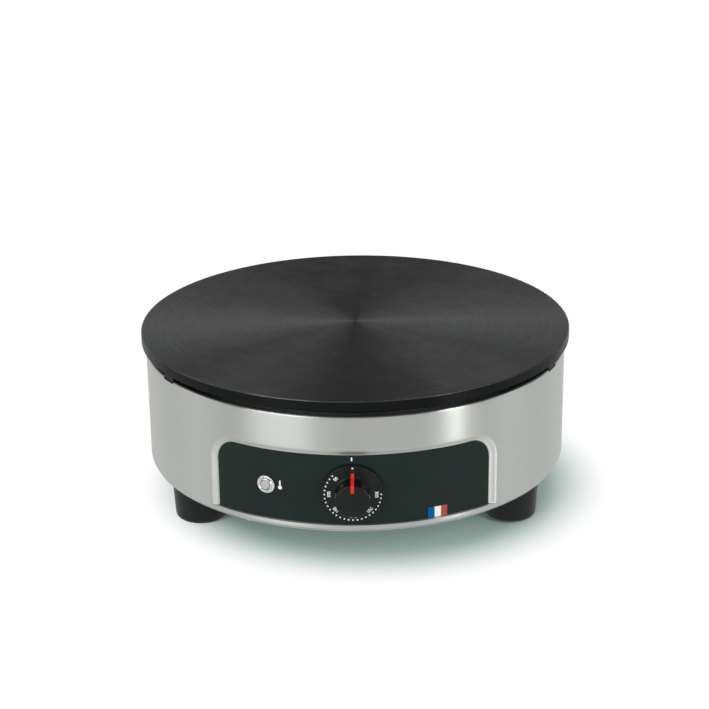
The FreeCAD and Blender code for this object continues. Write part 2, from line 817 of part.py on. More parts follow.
def control_fascia():
    gap_angle = math.degrees(OVERLAY_EDGE_GAP / RECESS_R)
    overlay = sector(
        RECESS_R + ADHESIVE_T,
        OVERLAY_OUT_R,
        PANEL_HALF_ANGLE - gap_angle,
        PANEL_BOTTOM_Z + OVERLAY_EDGE_GAP,
        PANEL_TOP_Z - OVERLAY_EDGE_GAP,
        PANEL_CORNER_R - OVERLAY_EDGE_GAP,
    )
    return overlay.cut(knob_hole(PANEL_SHAFT_HOLE_R)).cut(lamp_hole())


# Knob, made along +Z with +Y up, its zero at the overlay's surface

def grip_start_h():
    return KNOB_PANEL_GAP + DIAL_EDGE_T + DIAL_CONE


def grip_face_h():
    return grip_start_h() + GRIP_H


def pointer_section(lift, sink):
    """Strip in the YZ plane that follows dial, grip side and grip face."""
    dial_y = GRIP_BASE_R + POINTER_ON_DIAL
    face_y = GRIP_FACE_R - POINTER_ON_FACE
    dial_slope = DIAL_CONE / (DIAL_R - GRIP_BASE_R)
    start_h = grip_start_h()
    face_h = grip_face_h()
    dial_h = start_h - dial_slope * POINTER_ON_DIAL
    corners = [
        (dial_y, dial_h + lift),
        (GRIP_BASE_R + lift, start_h + lift),
        (GRIP_FACE_R + lift, face_h + lift),
        (face_y, face_h + lift),
        (face_y, face_h - sink),
        (GRIP_FACE_R - sink, face_h - sink),
        (GRIP_BASE_R - sink, start_h - sink),
        (dial_y, dial_h - sink),
    ]
    points = [vec(0, y, z) for y, z in corners]
    return Part.Face(Part.makePolygon(points + points[:1]))


def pointer_strip(width, lift, sink):
    strip = pointer_section(lift, sink)
    strip.translate(vec(-width / 2, 0, 0))
    return strip.extrude(vec(width, 0, 0))


def shaft_section(radius, flat, z0, z1):
    return cylinder(radius, z0, z1).cut(box(-radius - 1, radius + 1, flat, radius + 1, z0 - 1, z1 + 1))


def on_knob_axis(shape):
    return outward(shape, OVERLAY_OUT_R, KNOB_Z, 0)


def knob():
    start_h = grip_start_h()
    body = turned(
        [
            (0, KNOB_PANEL_GAP),
            (DIAL_R, KNOB_PANEL_GAP),
            (DIAL_R, KNOB_PANEL_GAP + DIAL_EDGE_T, DIAL_EDGE_T / 4),
            (GRIP_BASE_R, start_h),
            (GRIP_FACE_R, grip_face_h(), GRIP_ROUND),
            (0, grip_face_h()),
        ]
    )
    bore_top = SHAFT_IN_KNOB + KNOB_BORE_GAP
    bore = shaft_section(
        SHAFT_R + SHAFT_RUN_GAP,
        SHAFT_FLAT + CLIP_GAP + CLIP_T + CLIP_GAP,
        KNOB_PANEL_GAP - 1,
        bore_top,
    )
    clip_pocket = box(
        -CLIP_W / 2 - CLIP_GAP,
        CLIP_W / 2 + CLIP_GAP,
        0,
        SHAFT_FLAT + CLIP_GAP + CLIP_T + CLIP_GAP,
        KNOB_PANEL_GAP - 1,
        bore_top,
    )
    body = body.cut(bore).cut(clip_pocket)
    return on_knob_axis(body.cut(pointer_strip(POINTER_W, POINTER_PROUD + 1, POINTER_DEPTH)))


def knob_pointer():
    return on_knob_axis(pointer_strip(POINTER_W, POINTER_PROUD, POINTER_DEPTH - 0.02))


def knob_clip():
    low = SHAFT_FLAT + CLIP_GAP
    clip = box(
        -CLIP_W / 2,
        CLIP_W / 2,
        low,
        low + CLIP_T,
        SHAFT_IN_KNOB - CLIP_L,
        SHAFT_IN_KNOB,
    )
    return on_knob_axis(clip)


def thermostat_shaft():
    back = -(OVERLAY_OUT_R - BRACKET_BACK_R) - SHAFT_IN_BODY
    front = cylinder(SHAFT_R, back, KNOB_PANEL_GAP)
    return on_knob_axis(front.fuse(shaft_section(SHAFT_R, SHAFT_FLAT, 0, SHAFT_IN_KNOB)))


# Thermostat, bracket

def thermostat_body():
    body = box(
        -THERMOSTAT_W / 2, THERMOSTAT_W / 2, -THERMOSTAT_H / 2, THERMOSTAT_H / 2, -THERMOSTAT_D, 0
    )
    body = body.fuse(cylinder(COLLAR_R, -1, COLLAR_L))
    bore = cylinder(SHAFT_R + SHAFT_RUN_GAP, -SHAFT_IN_BODY - 1, COLLAR_L + 1)
    return outward(body.cut(bore), BRACKET_BACK_R, KNOB_Z, 0)


def thermostat_nut():
    nut = hexagon(THERMOSTAT_NUT_R, BRACKET_T, BRACKET_T + THERMOSTAT_NUT_T)
    nut = nut.cut(cylinder(COLLAR_R + SHAFT_RUN_GAP, 0, BRACKET_T + THERMOSTAT_NUT_T + 1))
    return outward(nut, BRACKET_BACK_R, KNOB_Z, 0)


def bracket_rivet_places():
    y = -BRACKET_BACK_R + BRACKET_FOOT / 2
    return [(-RIVET_SPREAD, y), (RIVET_SPREAD, y)]


def thermostat_bracket():
    half = BRACKET_W / 2
    upright = box(
        -half, half, -BRACKET_FRONT_R, -BRACKET_BACK_R, BODY_BOTTOM_Z, BODY_BOTTOM_Z + BRACKET_H
    )
    foot = box(
        -half,
        half,
        -BRACKET_FRONT_R,
        -BRACKET_BACK_R + BRACKET_FOOT,
        BODY_BOTTOM_Z,
        BRACKET_FOOT_TOP_Z,
    )
    bracket = upright.fuse(foot)
    collar_hole = outward(
        cylinder(COLLAR_R + COLLAR_HOLE_GAP, -1, BRACKET_T + 1), BRACKET_BACK_R, KNOB_Z, 0
    )
    bracket = bracket.cut(collar_hole)
    for x, y in bracket_rivet_places():
        bracket = bracket.cut(
            cylinder(RIVET_R + SHAFT_RUN_GAP, BODY_BOTTOM_Z - 1, BRACKET_FOOT_TOP_Z + 1, x, y)
        )
    return bracket


# Indicator lamp, made along +Z with its zero at the overlay's surface

def on_lamp_axis(shape):
    return outward(shape, OVERLAY_OUT_R, LAMP_Z, LAMP_AZIMUTH)


def lamp_bezel():
    base = OUTSIDE_SEAT_GAP
    top = base + BEZEL_RING_H
    bezel = turned(
        [
            (LENS_R + LENS_GAP, base - BEZEL_TUBE_L),
            (BEZEL_TUBE_R, base - BEZEL_TUBE_L),
            (BEZEL_TUBE_R, base),
            (BEZEL_R, base),
            (BEZEL_R, base + BEZEL_T, BEZEL_T / 2),
            (BEZEL_RING_R, base + BEZEL_T),
            (BEZEL_RING_R, top, BEZEL_T / 3),
            (LENS_R + LENS_GAP, top),
        ]
    )
    return on_lamp_axis(bezel)


def lamp_lens():
    top = OUTSIDE_SEAT_GAP + BEZEL_RING_H + LENS_PROUD
    lens = turned(
        [
            (0, -LENS_BACK),
            (LENS_R, -LENS_BACK),
            (LENS_R, top, LENS_PROUD),
            (0, top),
        ]
    )
    return on_lamp_axis(lens)


def lamp_body():
    capsule = cylinder(LENS_R, -LENS_BACK - LAMP_BODY_L, -LENS_BACK)
    return on_lamp_axis(capsule)


def lamp_nut():
    inner_wall = -(OVERLAY_OUT_R - RECESS_R + SHELL_T)
    curve = RECESS_R - SHELL_T - math.sqrt((RECESS_R - SHELL_T) ** 2 - LAMP_NUT_R ** 2)
    top = inner_wall - curve - INSIDE_SEAT_GAP
    nut = hexagon(LAMP_NUT_R, top - LAMP_NUT_T, top)
    return on_lamp_axis(nut.cut(cylinder(BEZEL_TUBE_R + SHAFT_RUN_GAP, top - LAMP_NUT_T - 1, top + 1)))


# Base plate and what it carries

def rim_screw_places():
    return [around(RIM_SCREW_CIRCLE_R, azimuth) for azimuth in RIM_SCREW_AZIMUTHS]


def rim_screws():
    screws = []
    for x, y in rim_screw_places():
        shank = cylinder(RIM_SCREW_R, FOOT_H, FOOT_H + RIM_SCREW_L, x, y)
        head = turned(
            [
                (0, FOOT_H - RIM_SCREW_HEAD_H),
                (RIM_SCREW_HEAD_R, FOOT_H - RIM_SCREW_HEAD_H, RIM_SCREW_HEAD_H / 2),
                (RIM_SCREW_HEAD_R, FOOT_H),
                (0, FOOT_H),
            ]
        )
        head.translate(vec(x, y, 0))
        screws.append(shank.fuse(head))
    return group(screws)


def block_rivet_places():
    reach = (BLOCK_D + (BLOCK_FOOT_D - BLOCK_D) / 2) / 2
    return [(0.0, BLOCK_Y - reach), (0.0, BLOCK_Y + reach)]


def base_rivets():
    rivets = []
    seats = [(place, BRACKET_FOOT_TOP_Z) for place in bracket_rivet_places()]
    seats += [(place, BODY_BOTTOM_Z + BLOCK_FOOT_T) for place in block_rivet_places()]
    for (x, y), top_z in seats:
        rivet = cylinder(RIVET_R, FOOT_H - RIVET_HEAD_H, top_z + RIVET_HEAD_H, x, y)
        rivet = rivet.fuse(cylinder(RIVET_HEAD_R, FOOT_H - RIVET_HEAD_H, FOOT_H, x, y))
        rivet = rivet.fuse(cylinder(RIVET_HEAD_R, top_z, top_z + RIVET_HEAD_H, x, y))
        rivets.append(rivet)
    return group(rivets)


def vent_slots():
    slots = []
    half = VENT_LENGTH / 2 - VENT_WIDTH / 2
    for index in range(VENTS_IN_GROUP):
        x = (index - (VENTS_IN_GROUP - 1) / 2) * VENT_PITCH
        slot = box(
            x - VENT_WIDTH / 2, x + VENT_WIDTH / 2, -VENT_R - half, -VENT_R + half, 0, BODY_H
        )
        for y in (-VENT_R - half, -VENT_R + half):
            slot = slot.fuse(cylinder(VENT_WIDTH / 2, 0, BODY_H, x, y))
        slots.append(slot)
    return slots


def base_plate():
    plate = cylinder(BASE_R, FOOT_H, BODY_BOTTOM_Z)
    holes = [(x, y, RIM_SCREW_R + SCREW_HOLE_GAP) for x, y in rim_screw_places()]
    holes += [(x, y, RIVET_R + SHAFT_RUN_GAP) for x, y in bracket_rivet_places()]
    holes += [(x, y, RIVET_R + SHAFT_RUN_GAP) for x, y in block_rivet_places()]
    for azimuth in FOOT_AZIMUTHS:
        x, y = around(FOOT_CIRCLE_R, azimuth)
        holes.append((x, y, FOOT_SCREW_R + SCREW_HOLE_GAP))
    holes.append((EARTH_X, EARTH_Y, EARTH_STUD_R + SHAFT_RUN_GAP))
    for x, y, radius in holes:
        plate = plate.cut(cylinder(radius, FOOT_H - 1, BODY_BOTTOM_Z + 1, x, y))
    for step in range(VENT_GROUPS):
        for slot in vent_slots():
            plate = plate.cut(at_azimuth(slot, (step + 0.5) * 360 / VENT_GROUPS))
    return plate


def terminal_block():
    block = box(
        -BLOCK_W / 2,
        BLOCK_W / 2,
        BLOCK_Y - BLOCK_D / 2,
        BLOCK_Y + BLOCK_D / 2,
        BODY_BOTTOM_Z,
        BLOCK_TOP_Z,
    )
    foot = box(
        -BLOCK_FOOT_W / 2,
        BLOCK_FOOT_W / 2,
        BLOCK_Y - BLOCK_FOOT_D / 2,
        BLOCK_Y + BLOCK_FOOT_D / 2,
        BODY_BOTTOM_Z,
        BODY_BOTTOM_Z + BLOCK_FOOT_T,
    )
    block = block.fuse(foot)
    for x, y in block_rivet_places():
        block = block.cut(
            cylinder(RIVET_R + SHAFT_RUN_GAP, BODY_BOTTOM_Z - 1, BLOCK_TOP_Z + 1, x, y)
        )
    for x in terminal_places():
        block = block.cut(cylinder(TERMINAL_R, BODY_BOTTOM_Z + BLOCK_H / 2, BLOCK_TOP_Z + 1, x, BLOCK_Y))
    return block


def terminal_places():
    return [-TERMINAL_PITCH, 0.0, TERMINAL_PITCH]


def terminal_clamps():
    clamps = []
    for x in terminal_places():
        clamps.append(
            cylinder(
                TERMINAL_R - SHAFT_RUN_GAP,
                BODY_BOTTOM_Z + BLOCK_H / 2,
                BLOCK_TOP_Z + TERMINAL_PROUD,
                x,
                BLOCK_Y,
            )
        )
    return group(clamps)


def earth_stud():
    top_z = BODY_BOTTOM_Z + EARTH_STUD_H
    return cylinder(EARTH_STUD_R, FOOT_H, top_z, EARTH_X, EARTH_Y)


def earth_nuts():
    nuts = []
    for level in range(2):
        low = BODY_BOTTOM_Z + level * EARTH_NUT_H
        nut = hexagon(EARTH_STUD_R * NUT_AF_PER_R * 1.1, low, low + EARTH_NUT_H, EARTH_X, EARTH_Y)
        hole = cylinder(
            EARTH_STUD_R + SHAFT_RUN_GAP, low - 1, low + EARTH_NUT_H + 1, EARTH_X, EARTH_Y
        )
        nuts.append(nut.cut(hole))
    return group(nuts)


# Feet

def foot(azimuth):
    web_z = FOOT_H - FOOT_WEB
    hole_r = FOOT_SCREW_R + SCREW_HOLE_GAP
    piece = turned(
        [
            (FOOT_WELL_R, 0),
            (FOOT_BOTTOM_R, 0, FOOT_ROUND),
            (FOOT_TOP_R, FOOT_H),
            (hole_r, FOOT_H),
            (hole_r, web_z),
            (FOOT_WELL_R, web_z),
        ]
    )
    piece.translate(vec(0, -FOOT_CIRCLE_R, 0))
    return at_azimuth(piece, azimuth)


def foot_screws():
    screws = []
    seat_z = FOOT_H - FOOT_WEB
    top_z = BODY_BOTTOM_Z + FOOT_NUT_H + FOOT_SCREW_PAST_NUT
    for azimuth in FOOT_AZIMUTHS:
        x, y = around(FOOT_CIRCLE_R, azimuth)
        shank = cylinder(FOOT_SCREW_R, seat_z, top_z, x, y)
        head = cylinder(FOOT_SCREW_HEAD_R, seat_z - FOOT_SCREW_HEAD_H, seat_z, x, y)
        recess = hexagon(FOOT_SCREW_R * 0.8, seat_z - FOOT_SCREW_HEAD_H - 1, seat_z - 2, x, y)
        screws.append(shank.fuse(head).cut(recess))
    return group(screws)


def foot_nuts():
    nuts = []
    for azimuth in FOOT_AZIMUTHS:
        x, y = around(FOOT_CIRCLE_R, azimuth)
        top_z = BODY_BOTTOM_Z + FOOT_NUT_H
        nut = hexagon(FOOT_SCREW_R * NUT_AF_PER_R * 1.12, BODY_BOTTOM_Z, top_z, x, y)
        hole = cylinder(FOOT_SCREW_R + SHAFT_RUN_GAP, BODY_BOTTOM_Z - 1, top_z + 1, x, y)
        nuts.append(nut.cut(hole))
    return group(nuts)


# Internal leads

def lead_element_a():
    foot_a = element_legs()[0]
    top = BLOCK_TOP_Z + TERMINAL_PROUD
    pin_end = LEG_END_Z - PIN_L
    level = (top + pin_end) / 2
    x = -TERMINAL_PITCH
    points = [
        vec(x, BLOCK_Y, top),
        vec(x, BLOCK_Y, level),
        vec(foot_a.x, foot_a.y, level),
        vec(foot_a.x, foot_a.y, pin_end),
    ]
    return tube(points, LEAD_R, LEAD_BEND_R)


def lead_element_b():
    foot_b = element_legs()[1]
    pin_end = LEG_END_Z - PIN_L
    level = pin_end - 1.6 * LEAD_BEND_R
    points = [
        vec(foot_b.x, foot_b.y, pin_end),
        vec(foot_b.x, foot_b.y, level),
        vec(foot_b.x, -THERMOSTAT_BACK_R, level),
    ]
    return tube(points, LEAD_R, LEAD_BEND_R)


def lead_supply():
    top = BLOCK_TOP_Z + TERMINAL_PROUD
    level = KNOB_Z - THERMOSTAT_H / 5
    points = [
        vec(0, BLOCK_Y, top),
        vec(0, BLOCK_Y, level + 1.2 * LEAD_BEND_R),
        vec(0, BLOCK_Y - 3 * LEAD_BEND_R, level),
        vec(0, -THERMOSTAT_BACK_R, level),
    ]
    return tube(points, LEAD_R, LEAD_BEND_R)


def lead_lamp(side):
    """Lead from the lamp's back to the side of the terminal block."""
    back_r = OVERLAY_OUT_R - LENS_BACK - LAMP_BODY_L
    offset = side * LENS_R / 2
    tail = LAMP_Z + offset
    start_x, start_y = around(back_r, LAMP_AZIMUTH)
    mid_x, mid_y = around(back_r - 3 * LEAD_BEND_R, LAMP_AZIMUTH)
    end_x = -BLOCK_W / 2 + 4 + (1 + side) * LEAD_R
    end_z = BODY_BOTTOM_Z + BLOCK_H / 4
    points = [
        vec(start_x, start_y, tail),
        vec(mid_x, mid_y, tail),
        vec(end_x, BLOCK_Y - BLOCK_D / 2 - 4 * LEAD_BEND_R, end_z),
        vec(end_x, BLOCK_Y - BLOCK_D / 2, end_z),
    ]
    return tube(points, LAMP_LEAD_R, LEAD_BEND_R)


# Cable gland, made along +Z with its zero at the body's surface

def on_gland_axis(shape):
    return outward(shape, BODY_R, GLAND_Z, 180)


def seal_base_h():
    return GLAND_SEAT_GAP + GLAND_FLANGE_T


def gland_body():
    base = GLAND_SEAT_GAP
    flange_top = base + GLAND_FLANGE_T
    body = cylinder(GLAND_THREAD_R, -GLAND_THREAD_IN, base + 0.5)
    body = body.fuse(hexagon(GLAND_HEX_R, base, flange_top))
    body = body.fuse(cylinder(GLAND_COLLAR_R, base + 0.5, flange_top + GLAND_COLLAR_L))
    body = body.cut(cylinder(GLAND_WAY_R, -GLAND_THREAD_IN - 1, flange_top + GLAND_COLLAR_L + 1))
    well = cylinder(SEAL_OUTER_R + SEAL_GAP, seal_base_h(), flange_top + GLAND_COLLAR_L + 1)
    return on_gland_axis(body.cut(well))


def gland_locknut():
    curve = SHELL_INNER_R - math.sqrt(SHELL_INNER_R ** 2 - GLAND_HEX_R ** 2)
    top = -SHELL_T - curve - INSIDE_SEAT_GAP / 3
    nut = hexagon(GLAND_HEX_R, top - LOCKNUT_T, top)
    hole = cylinder(GLAND_THREAD_R + SHAFT_RUN_GAP, top - LOCKNUT_T - 1, top + 1)
    return on_gland_axis(nut.cut(hole))


def gland_seal():
    base = seal_base_h()
    return on_gland_axis(ring(SEAL_OUTER_R, CABLE_R, base, base + SEAL_L))


def gland_dome():
    base = seal_base_h() + GLAND_SEAT_GAP
    top = base + DOME_H
    inner_r = GLAND_COLLAR_R + DOME_THREAD_GAP
    skirt_r = GLAND_HEX_R * math.cos(math.radians(30))
    shoulder = seal_base_h() + SEAL_L + GLAND_SEAT_GAP
    dome = hexagon(GLAND_HEX_R, base, base + DOME_HEX_H)
    cap = turned(
        [
            (0, base),
            (skirt_r, base),
            (skirt_r, top, DOME_H - DOME_HEX_H),
            (0, top),
        ]
    )
    dome = dome.fuse(cap).cut(cylinder(inner_r, base - 1, shoulder))
    return on_gland_axis(dome.cut(cylinder(GLAND_WAY_R, base - 1, top + 1)))


def build():
    pieces = {
        "griddle_plate": griddle_plate(),
        "clamp_studs": clamp_studs(),
        "clamp_nuts": stud_nuts(BAR_UNDER_Z),
        "pan_nuts": stud_nuts(PAN_UNDER_Z),
        "heating_element": heating_element(),
        "element_pins": element_pins(),
        "heat_shield_pan": heat_shield_pan(),
        "insulation_blanket": insulation_blanket(),
        "sensor_bulb": sensor_bulb(),
        "bulb_clip": bulb_clip(),
        "thermal_cutout": thermal_cutout(),
        "sensor_screws": sensor_screws(),
        "capillary_tube": capillary_tube(),
        "body_shell": body_shell(),
        "plate_bolts": plate_bolts(),
        "control_fascia": control_fascia(),
        "knob": knob(),
        "knob_pointer": knob_pointer(),
        "knob_clip": knob_clip(),
        "thermostat_shaft": thermostat_shaft(),
        "thermostat_body": thermostat_body(),
        "thermostat_nut": thermostat_nut(),
        "thermostat_bracket": thermostat_bracket(),
        "lamp_bezel": lamp_bezel(),
        "lamp_lens": lamp_lens(),
        "lamp_body": lamp_body(),
        "lamp_nut": lamp_nut(),
        "base_plate": base_plate(),
        "base_rivets": base_rivets(),
        "rim_screws": rim_screws(),
        "terminal_block": terminal_block(),
        "terminal_clamps": terminal_clamps(),
        "earth_stud": earth_stud(),
        "earth_nuts": earth_nuts(),
        "foot_screws": foot_screws(),
        "foot_nuts": foot_nuts(),
        "lead_element_a": lead_element_a(),
        "lead_element_b": lead_element_b(),
        "lead_supply": lead_supply(),
        "lead_lamp_a": lead_lamp(-1),
        "lead_lamp_b": lead_lamp(1),
        "gland_body": gland_body(),
        "gland_locknut": gland_locknut(),
        "gland_seal": gland_seal(),
        "gland_dome": gland_dome(),
    }
    for number, azimuth in enumerate(STUD_AZIMUTHS, 1):
        pieces[f"clamp_bar_{number}"] = clamp_bar(azimuth)
    for number, azimuth in enumerate(LUG_AZIMUTHS, 1):
        pieces[f"seat_bracket_{number}"] = seat_bracket(azimuth)
    for name, azimuth in zip(FOOT_NAMES, FOOT_AZIMUTHS):
        pieces[name] = foot(azimuth)
    return pieces


def main():
    os.makedirs("parts", exist_ok=True)
    for node, shape in build().items():
        good = shape.isValid() and all(solid.isClosed() for solid in shape.Solids)
        print(f"{node:22s} solids {len(shape.Solids)} valid {good} volume {shape.Volume:.0f}")
        shape.exportStep(f"parts/{node}.step")


main()
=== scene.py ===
# %% [markdown]
# # An electric crepe maker
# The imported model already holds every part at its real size. This lesson loads it, gives each
# part its finish, and models again, in finer detail, the pieces that the eye looks at most: the
# pressed steel drum, the curved black panel with its marks, the knob and the lamp.

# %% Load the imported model
import json
import math

import bmesh
import bpy
from mathutils import Matrix, Vector


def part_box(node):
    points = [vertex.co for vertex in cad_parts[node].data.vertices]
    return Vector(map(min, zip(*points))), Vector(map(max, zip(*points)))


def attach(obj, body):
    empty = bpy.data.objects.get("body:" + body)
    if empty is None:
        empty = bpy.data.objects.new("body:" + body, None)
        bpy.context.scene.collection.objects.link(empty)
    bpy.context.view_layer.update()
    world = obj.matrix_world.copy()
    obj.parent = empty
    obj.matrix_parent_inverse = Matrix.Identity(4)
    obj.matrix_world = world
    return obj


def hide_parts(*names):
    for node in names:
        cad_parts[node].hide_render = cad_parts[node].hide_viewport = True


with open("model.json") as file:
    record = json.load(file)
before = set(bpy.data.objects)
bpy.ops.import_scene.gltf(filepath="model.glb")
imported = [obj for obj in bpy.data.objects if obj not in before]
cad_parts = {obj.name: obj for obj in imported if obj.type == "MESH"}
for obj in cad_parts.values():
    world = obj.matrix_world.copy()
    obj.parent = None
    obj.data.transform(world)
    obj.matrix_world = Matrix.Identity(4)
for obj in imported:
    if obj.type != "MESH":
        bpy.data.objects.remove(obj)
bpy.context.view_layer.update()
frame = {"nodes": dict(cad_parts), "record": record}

MM = 0.001

# %% [markdown]
# ## Sizes
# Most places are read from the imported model's own boxes, so a modelled piece always lands on the
# part that it stands for. The lamp's azimuth and the small sizes that a box can't tell are
# written here. The drum's top edge and the panel's top edge stand a little lower than their boxes,
# so that the dark gap under the plate and the slope above the panel show as they should.

# %% Read the sizes
plate_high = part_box("griddle_plate")[1]
shell_low, shell_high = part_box("body_shell")
fascia_low, fascia_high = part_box("control_fascia")
knob_low, knob_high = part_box("knob")
bezel_low, bezel_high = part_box("lamp_bezel")

PLATE_TOP = plate_high[2]
PLATE_R = plate_high[1]
BODY_R = shell_high[0]
BODY_BOTTOM = shell_low[2]
EDGE_DROP = 1.0 * MM
BODY_TOP = shell_high[2] - EDGE_DROP
SHELL_T = 1.2 * MM
PANEL_HALF_ANGLE = math.radians(37.85)
PANEL_BOTTOM = fascia_low[2]
PANEL_DROP = 0.3 * MM
PANEL_TOP = fascia_high[2] - PANEL_DROP
PANEL_CORNER = 20.0 * MM
RECESS_DEPTH = 2.2 * MM
OVERLAY_R = -fascia_low[1]
KNOB_HEIGHT = (knob_low[2] + knob_high[2]) / 2
LAMP_AZIMUTH = -22.8
LAMP_HEIGHT = (bezel_low[2] + bezel_high[2]) / 2
print("plate top", round(PLATE_TOP, 4), "body radius", round(BODY_R, 4))
print("knob at", round(KNOB_HEIGHT, 4))

# %% [markdown]
# ## The camera
# The camera stands in front of the appliance and a little above it, as someone at the counter
# does. It is set first, because every later choice of detail depends on what it shows. Its place
# is worked out from the centre of the cooking plate: a distance, a height angle, a small turn to
# the side and a small roll. It is aimed so that the plate's centre falls on a named pixel, a
# little above the middle of the picture.

# %% Set the camera
PICTURE = 709
FOCAL_PIXELS = 1886.5
PLATE_CENTRE_PIXEL = (355.43, 320.73)
CAMERA_DISTANCE = 1.7716
CAMERA_ELEVATION = math.radians(19.91)
CAMERA_AZIMUTH = math.radians(1.12)
CAMERA_ROLL = math.radians(-0.738)
SENSOR_WIDTH = 36
FARTHEST_SEEN = 50


def camera_matrix():
    """Aims sideways, aims up, rolls, and then goes round the plate."""
    aim_right = math.atan((PLATE_CENTRE_PIXEL[0] - PICTURE / 2) / FOCAL_PIXELS)
    aim_up = math.atan((PLATE_CENTRE_PIXEL[1] - PICTURE / 2) / FOCAL_PIXELS)
    away = Vector((0, -math.cos(CAMERA_ELEVATION), math.sin(CAMERA_ELEVATION)))
    forward = -away
    right = Vector((1, 0, 0))
    up = right.cross(forward)
    forward_1 = forward * math.cos(aim_right) - right * math.sin(aim_right)
    right_1 = right * math.cos(aim_right) + forward * math.sin(aim_right)
    forward_2 = forward_1 * math.cos(aim_up) + up * math.sin(aim_up)
    up_2 = up * math.cos(aim_up) - forward_1 * math.sin(aim_up)
    right_3 = right_1 * math.cos(CAMERA_ROLL) + up_2 * math.sin(CAMERA_ROLL)
    up_3 = up_2 * math.cos(CAMERA_ROLL) - right_1 * math.sin(CAMERA_ROLL)
    turn = Matrix.Rotation(CAMERA_AZIMUTH, 3, "Z")
    place = turn @ (away * CAMERA_DISTANCE) + Vector((0, 0, PLATE_TOP))
    columns = Matrix((turn @ right_3, turn @ up_3, turn @ -forward_2)).transposed()
    return Matrix.Translation(place) @ columns.to_4x4()


camera_data = bpy.data.cameras.new("camera")
camera = bpy.data.objects.new("camera", camera_data)
bpy.context.scene.collection.objects.link(camera)
camera_data.sensor_width = SENSOR_WIDTH
camera_data.lens = FOCAL_PIXELS / PICTURE * SENSOR_WIDTH
camera_data.clip_end = FARTHEST_SEEN
camera.matrix_world = camera_matrix()
bpy.context.scene.camera = camera
print("camera at", [round(value, 3) for value in camera.location])

# %% [markdown]
# ## Shader maths as Python
# A finish is a small sum: a base colour, a little noise, some fine lines. Nodes can do the sum,
# and a class that answers to +, -, * and / lets it be written as a sum. One method adds every
# other node.


# %% Write the shader helpers
class Term:
    """A number somewhere in a finish, which can be added and multiplied."""

    def __init__(self, finish, socket):
        self.finish = finish
        self.socket = socket

    def _math(self, operation, first, second):
        return self.finish.node("ShaderNodeMath", {"operation": operation}, [first, second])

    def __add__(self, other):
        return self._math("ADD", self, other)

    def __radd__(self, other):
        return self._math("ADD", other, self)

    def __sub__(self, other):
        return self._math("SUBTRACT", self, other)

    def __mul__(self, other):
        return self._math("MULTIPLY", self, other)

    def __truediv__(self, other):
        return self._math("DIVIDE", self, other)

    def power(self, other):
        return self._math("POWER", self, other)

    def over(self, limit):
        return self._math("GREATER_THAN", self, limit)


class Finish:
    """A material in the making."""

    def __init__(self, name):
        self.material = bpy.data.materials.new(name)
        self.material.use_nodes = True
        self.tree = self.material.node_tree
        self.tree.nodes.clear()
        self.output = self.tree.nodes.new("ShaderNodeOutputMaterial")

    def node(self, kind, settings=None, inputs=(), out=0):
        """Adds a node. Inputs are a list in order or a dict by name or number."""
        node = self.tree.nodes.new(kind)
        for key, value in (settings or {}).items():
            setattr(node, key, value)
        pairs = inputs.items() if isinstance(inputs, dict) else enumerate(inputs)
        for key, value in pairs:
            if isinstance(value, Term):
                self.tree.links.new(value.socket, node.inputs[key])
            else:
                node.inputs[key].default_value = value
        return Term(self, node.outputs[out])

    def place(self):
        return self.node("ShaderNodeTexCoord", out="Object")

    def noise(self, vector, scale, detail, roughness=0.5):
        inputs = {"Vector": vector, "Scale": scale, "Detail": detail, "Roughness": roughness}
        return self.node("ShaderNodeTexNoise", {}, inputs)

    def joined(self, x, y, z):
        return self.node("ShaderNodeCombineXYZ", {}, [x, y, z])

    def axis(self, out):
        return self.node("ShaderNodeSeparateXYZ", {}, [self.place()], out)

    def radius(self):
        x = self.axis("X")
        y = self.axis("Y")
        return (x * x + y * y).power(0.5)

    def azimuth(self):
        y = self.axis("Y") * -1
        return self.node("ShaderNodeMath", {"operation": "ARCTAN2"}, [self.axis("X"), y])

    def mix(self, factor, low, high):
        """Blend of two colours. The high one is a triple, the low one a triple or a Term."""
        low = low if isinstance(low, Term) else (*low, 1)
        inputs = {0: factor, 6: low, 7: (*high, 1)}
        return self.node("ShaderNodeMix", {"data_type": "RGBA"}, inputs, 2)

    def bump(self, height, distance, strength):
        inputs = {"Strength": strength, "Distance": distance, "Height": height}
        return self.node("ShaderNodeBump", {}, inputs)

    def surface(self, **inputs):
        """Ends the finish with one main shader. Names use _ for a space."""
        named = {key.replace("_", " "): value for key, value in inputs.items()}
        shader = self.node("ShaderNodeBsdfPrincipled", {}, named)
        self.tree.links.new(shader.socket, self.output.inputs["Surface"])
        return self.material


print("shader helpers ready")

# %% [markdown]
# ## Seasoned cast iron
# The cooking plate is turned on a lathe, so it carries fine rings round its centre, and it is
# burned black with oil. The rings stretch every reflection along the radius, which is why real
# plates show light and dark rays that meet at the centre. Anisotropy gives those rays, and a noise
# round the centre also paints light and dark rays into the colour as painted reflection. Noise in
# radius gives the rings, noise that is long round the centre and short along the radius gives
# the scuffs, and broad noise gives the uneven seasoning. The top edge is worn to bare iron, and
# its lighter metallic grey is also a painted highlight along the rim.


# %% Make the cast iron finish
IRON_DARK = (0.001, 0.001, 0.001)
IRON_GREY = (0.011, 0.011, 0.011)
IRON_WORN_HIGHLIGHT = (0.10, 0.10, 0.10)
WORN_HIGHLIGHT_EDGE = 0.8 * MM
RING_SCALE = 320
BAND_SCALE = 60
RAY_SCALE = 3.2
PATCH_SCALE = 22.0
SCUFF_SCALE = 300
SCUFFS_ROUND = 7
IRON_RELIEF = 0.12 * MM


